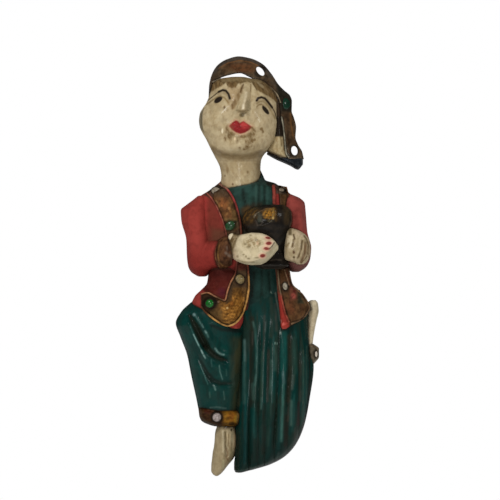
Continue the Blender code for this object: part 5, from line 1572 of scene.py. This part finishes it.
def glass(name):
    """Domed glass over a painted backing: deep even colour, cloudy inside, its skin dulled by wear."""
    made = bpy.data.materials.new(name)
    made.use_nodes = True
    shader = made.node_tree.nodes["Principled BSDF"]
    lead = Lead(made.node_tree)
    place = lead.node("ShaderNodeTexCoord", out="Object")
    cloud = lead.noise(place, 380, 3, 0.5)
    paint = lead.node("ShaderNodeAttribute", {"attribute_name": "paint"}, out="Color")
    paint.tint((120, 112, 98), cloud.between(0.42, 0.7) * 0.6, "MULTIPLY").into(shader, "Base Color")
    (0.22 + cloud * 0.2).into(shader, "Roughness")
    shader.inputs["Specular IOR Level"].default_value = 0.2
    shader.inputs["Coat Weight"].default_value = 0.25
    shader.inputs["Coat Roughness"].default_value = 0.12
    return made


glasses = {kind: glass("backed_" + kind) for kind in ("green_glass", "white_glass", "pale_glass")}
for name, longer, wider, colour, kind in STONES:
    lie, half = stone_frame(name)
    half[:2] *= longer, wider
    dome = bmesh.new()
    bmesh.ops.create_uvsphere(dome, u_segments=40, v_segments=20, radius=1)
    bmesh.ops.scale(dome, vec=half, verts=dome.verts)
    bmesh.ops.transform(dome, matrix=lie, verts=dome.verts)
    Coat(piece(name.replace("stone_", "glass_"), dome, name), *colour).finish(glasses[kind])
    ring = bmesh.new()
    bmesh.ops.create_circle(ring, segments=12, radius=RING * MODULE)
    bmesh.ops.rotate(ring, cent=(0, 0, 0), matrix=Matrix.Rotation(math.radians(90), 3, "X"),
                     verts=ring.verts)
    bmesh.ops.translate(ring, verts=ring.verts, vec=(1, 0, 0))
    bmesh.ops.spin(ring, geom=ring.verts[:] + ring.edges[:], cent=(0, 0, 0), axis=(0, 0, 1),
                   angle=math.tau, steps=40, use_merge=True)
    for vert in ring.verts:
        radius = math.hypot(vert.co.x, vert.co.y)
        reach = radius - 1
        vert.co.x *= (half[0] + RING_GAP * MODULE + reach) / radius
        vert.co.y *= (half[1] + RING_GAP * MODULE + reach) / radius
    bmesh.ops.remove_doubles(ring, verts=ring.verts, dist=WELD)
    bmesh.ops.recalc_face_normals(ring, faces=ring.faces)
    bmesh.ops.transform(ring, matrix=lie, verts=ring.verts)
    Coat(piece(name.replace("stone_", "setting_"), ring), *PUTTY).finish(brown_lacquer)

# The old varnish and painted light: grime and painted shade darken every hollow and wherever two
# forms meet, and rubbing and a painted highlight lighten the ridges. Both are worked out from the
# finished shapes and kept with each piece.
CREASE_REACH = 3.2 * MODULE
CREASE = 1.5 * MODULE
CREASE_DIRT_AND_SHADE = 0.76
LOOK_ROUND = ((1.3, 0.45), (3.5, 2.2))


def smoothed(place, links, times):
    """The places after each has moved to the mean of its neighbours, so many times."""
    count = np.bincount(links.ravel(), minlength=len(place))[:, None]
    for _ in range(times):
        total = np.zeros_like(place)
        for one, other in (links.T, links.T[::-1]):
            for axis in range(3):
                total[:, axis] += np.bincount(one, weights=place[other, axis], minlength=len(place))
        place = total / np.maximum(count, 1)
    return place


def age_shade_and_light(made, others):
    """Stores how much grime and painted shade darken each vertex of a piece, and how much
    rubbing and a painted highlight lighten it.
    """
    mesh = made.data
    place = np.empty(len(mesh.vertices) * 3)
    mesh.vertices.foreach_get("co", place)
    place = place.reshape(-1, 3)
    normal = np.array([n.vector for n in mesh.vertex_normals])
    links = np.empty(len(mesh.edges) * 2, np.int32)
    mesh.edges.foreach_get("vertices", links)
    links = links.reshape(-1, 2)
    grain = np.median(np.linalg.norm(place[links[:, 0]] - place[links[:, 1]], axis=1)) / MODULE
    hollow = np.zeros(len(place))
    for radius, depth in LOOK_ROUND:
        times = int(np.clip((radius / grain) ** 2, 1, 60))
        bulge = ((smoothed(place, links, times) - place) * normal).sum(axis=1) / MODULE / depth
        hollow += np.sign(bulge) * np.clip(np.abs(bulge) * 1.25 - 0.25, 0, 1) * 0.6
    dirt_and_shade = np.clip(hollow, 0, 1) * CREASE_DIRT_AND_SHADE
    low, high = place.min(axis=0), place.max(axis=0)
    for other_low, other_high, tree in others:
        if (low > other_high + CREASE_REACH).any() or (high < other_low - CREASE_REACH).any():
            continue
        close = ((place > other_low - CREASE_REACH) & (place < other_high + CREASE_REACH)).all(axis=1)
        for index in np.flatnonzero(close):
            found = tree.find_nearest(Vector(place[index]), CREASE_REACH)
            if found[0] is not None:
                dirt_and_shade[index] = max(dirt_and_shade[index], CREASE_DIRT_AND_SHADE * math.exp(-((found[3] / CREASE) ** 2)))
    dirt_and_shade *= normal[:, 1] < 0.6
    for name, values in (("dirt_and_shade", dirt_and_shade), ("rubbed_and_lit", np.clip(-hollow, 0, 1))):
        layer = mesh.attributes.new(name, "FLOAT", "POINT")
        layer.data.foreach_set("value", values)


finished = [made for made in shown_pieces() if "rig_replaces" in made]
surfaces = []
for made in finished:
    corners = np.array([v.co for v in made.data.vertices])
    surfaces.append((corners.min(axis=0), corners.max(axis=0), tree_of(made)))
for made in finished:
    # Pieces in one paint were painted as one, and the shirt runs on into the skirt, so no darkened
    # crease of grime and painted shade where they meet.
    others = [found for other, found in zip(finished, surfaces)
              if other.data.materials[0] != made.data.materials[0]
              and {made.name, other.name} != {"chest", "skirt"}]
    age_shade_and_light(made, others)
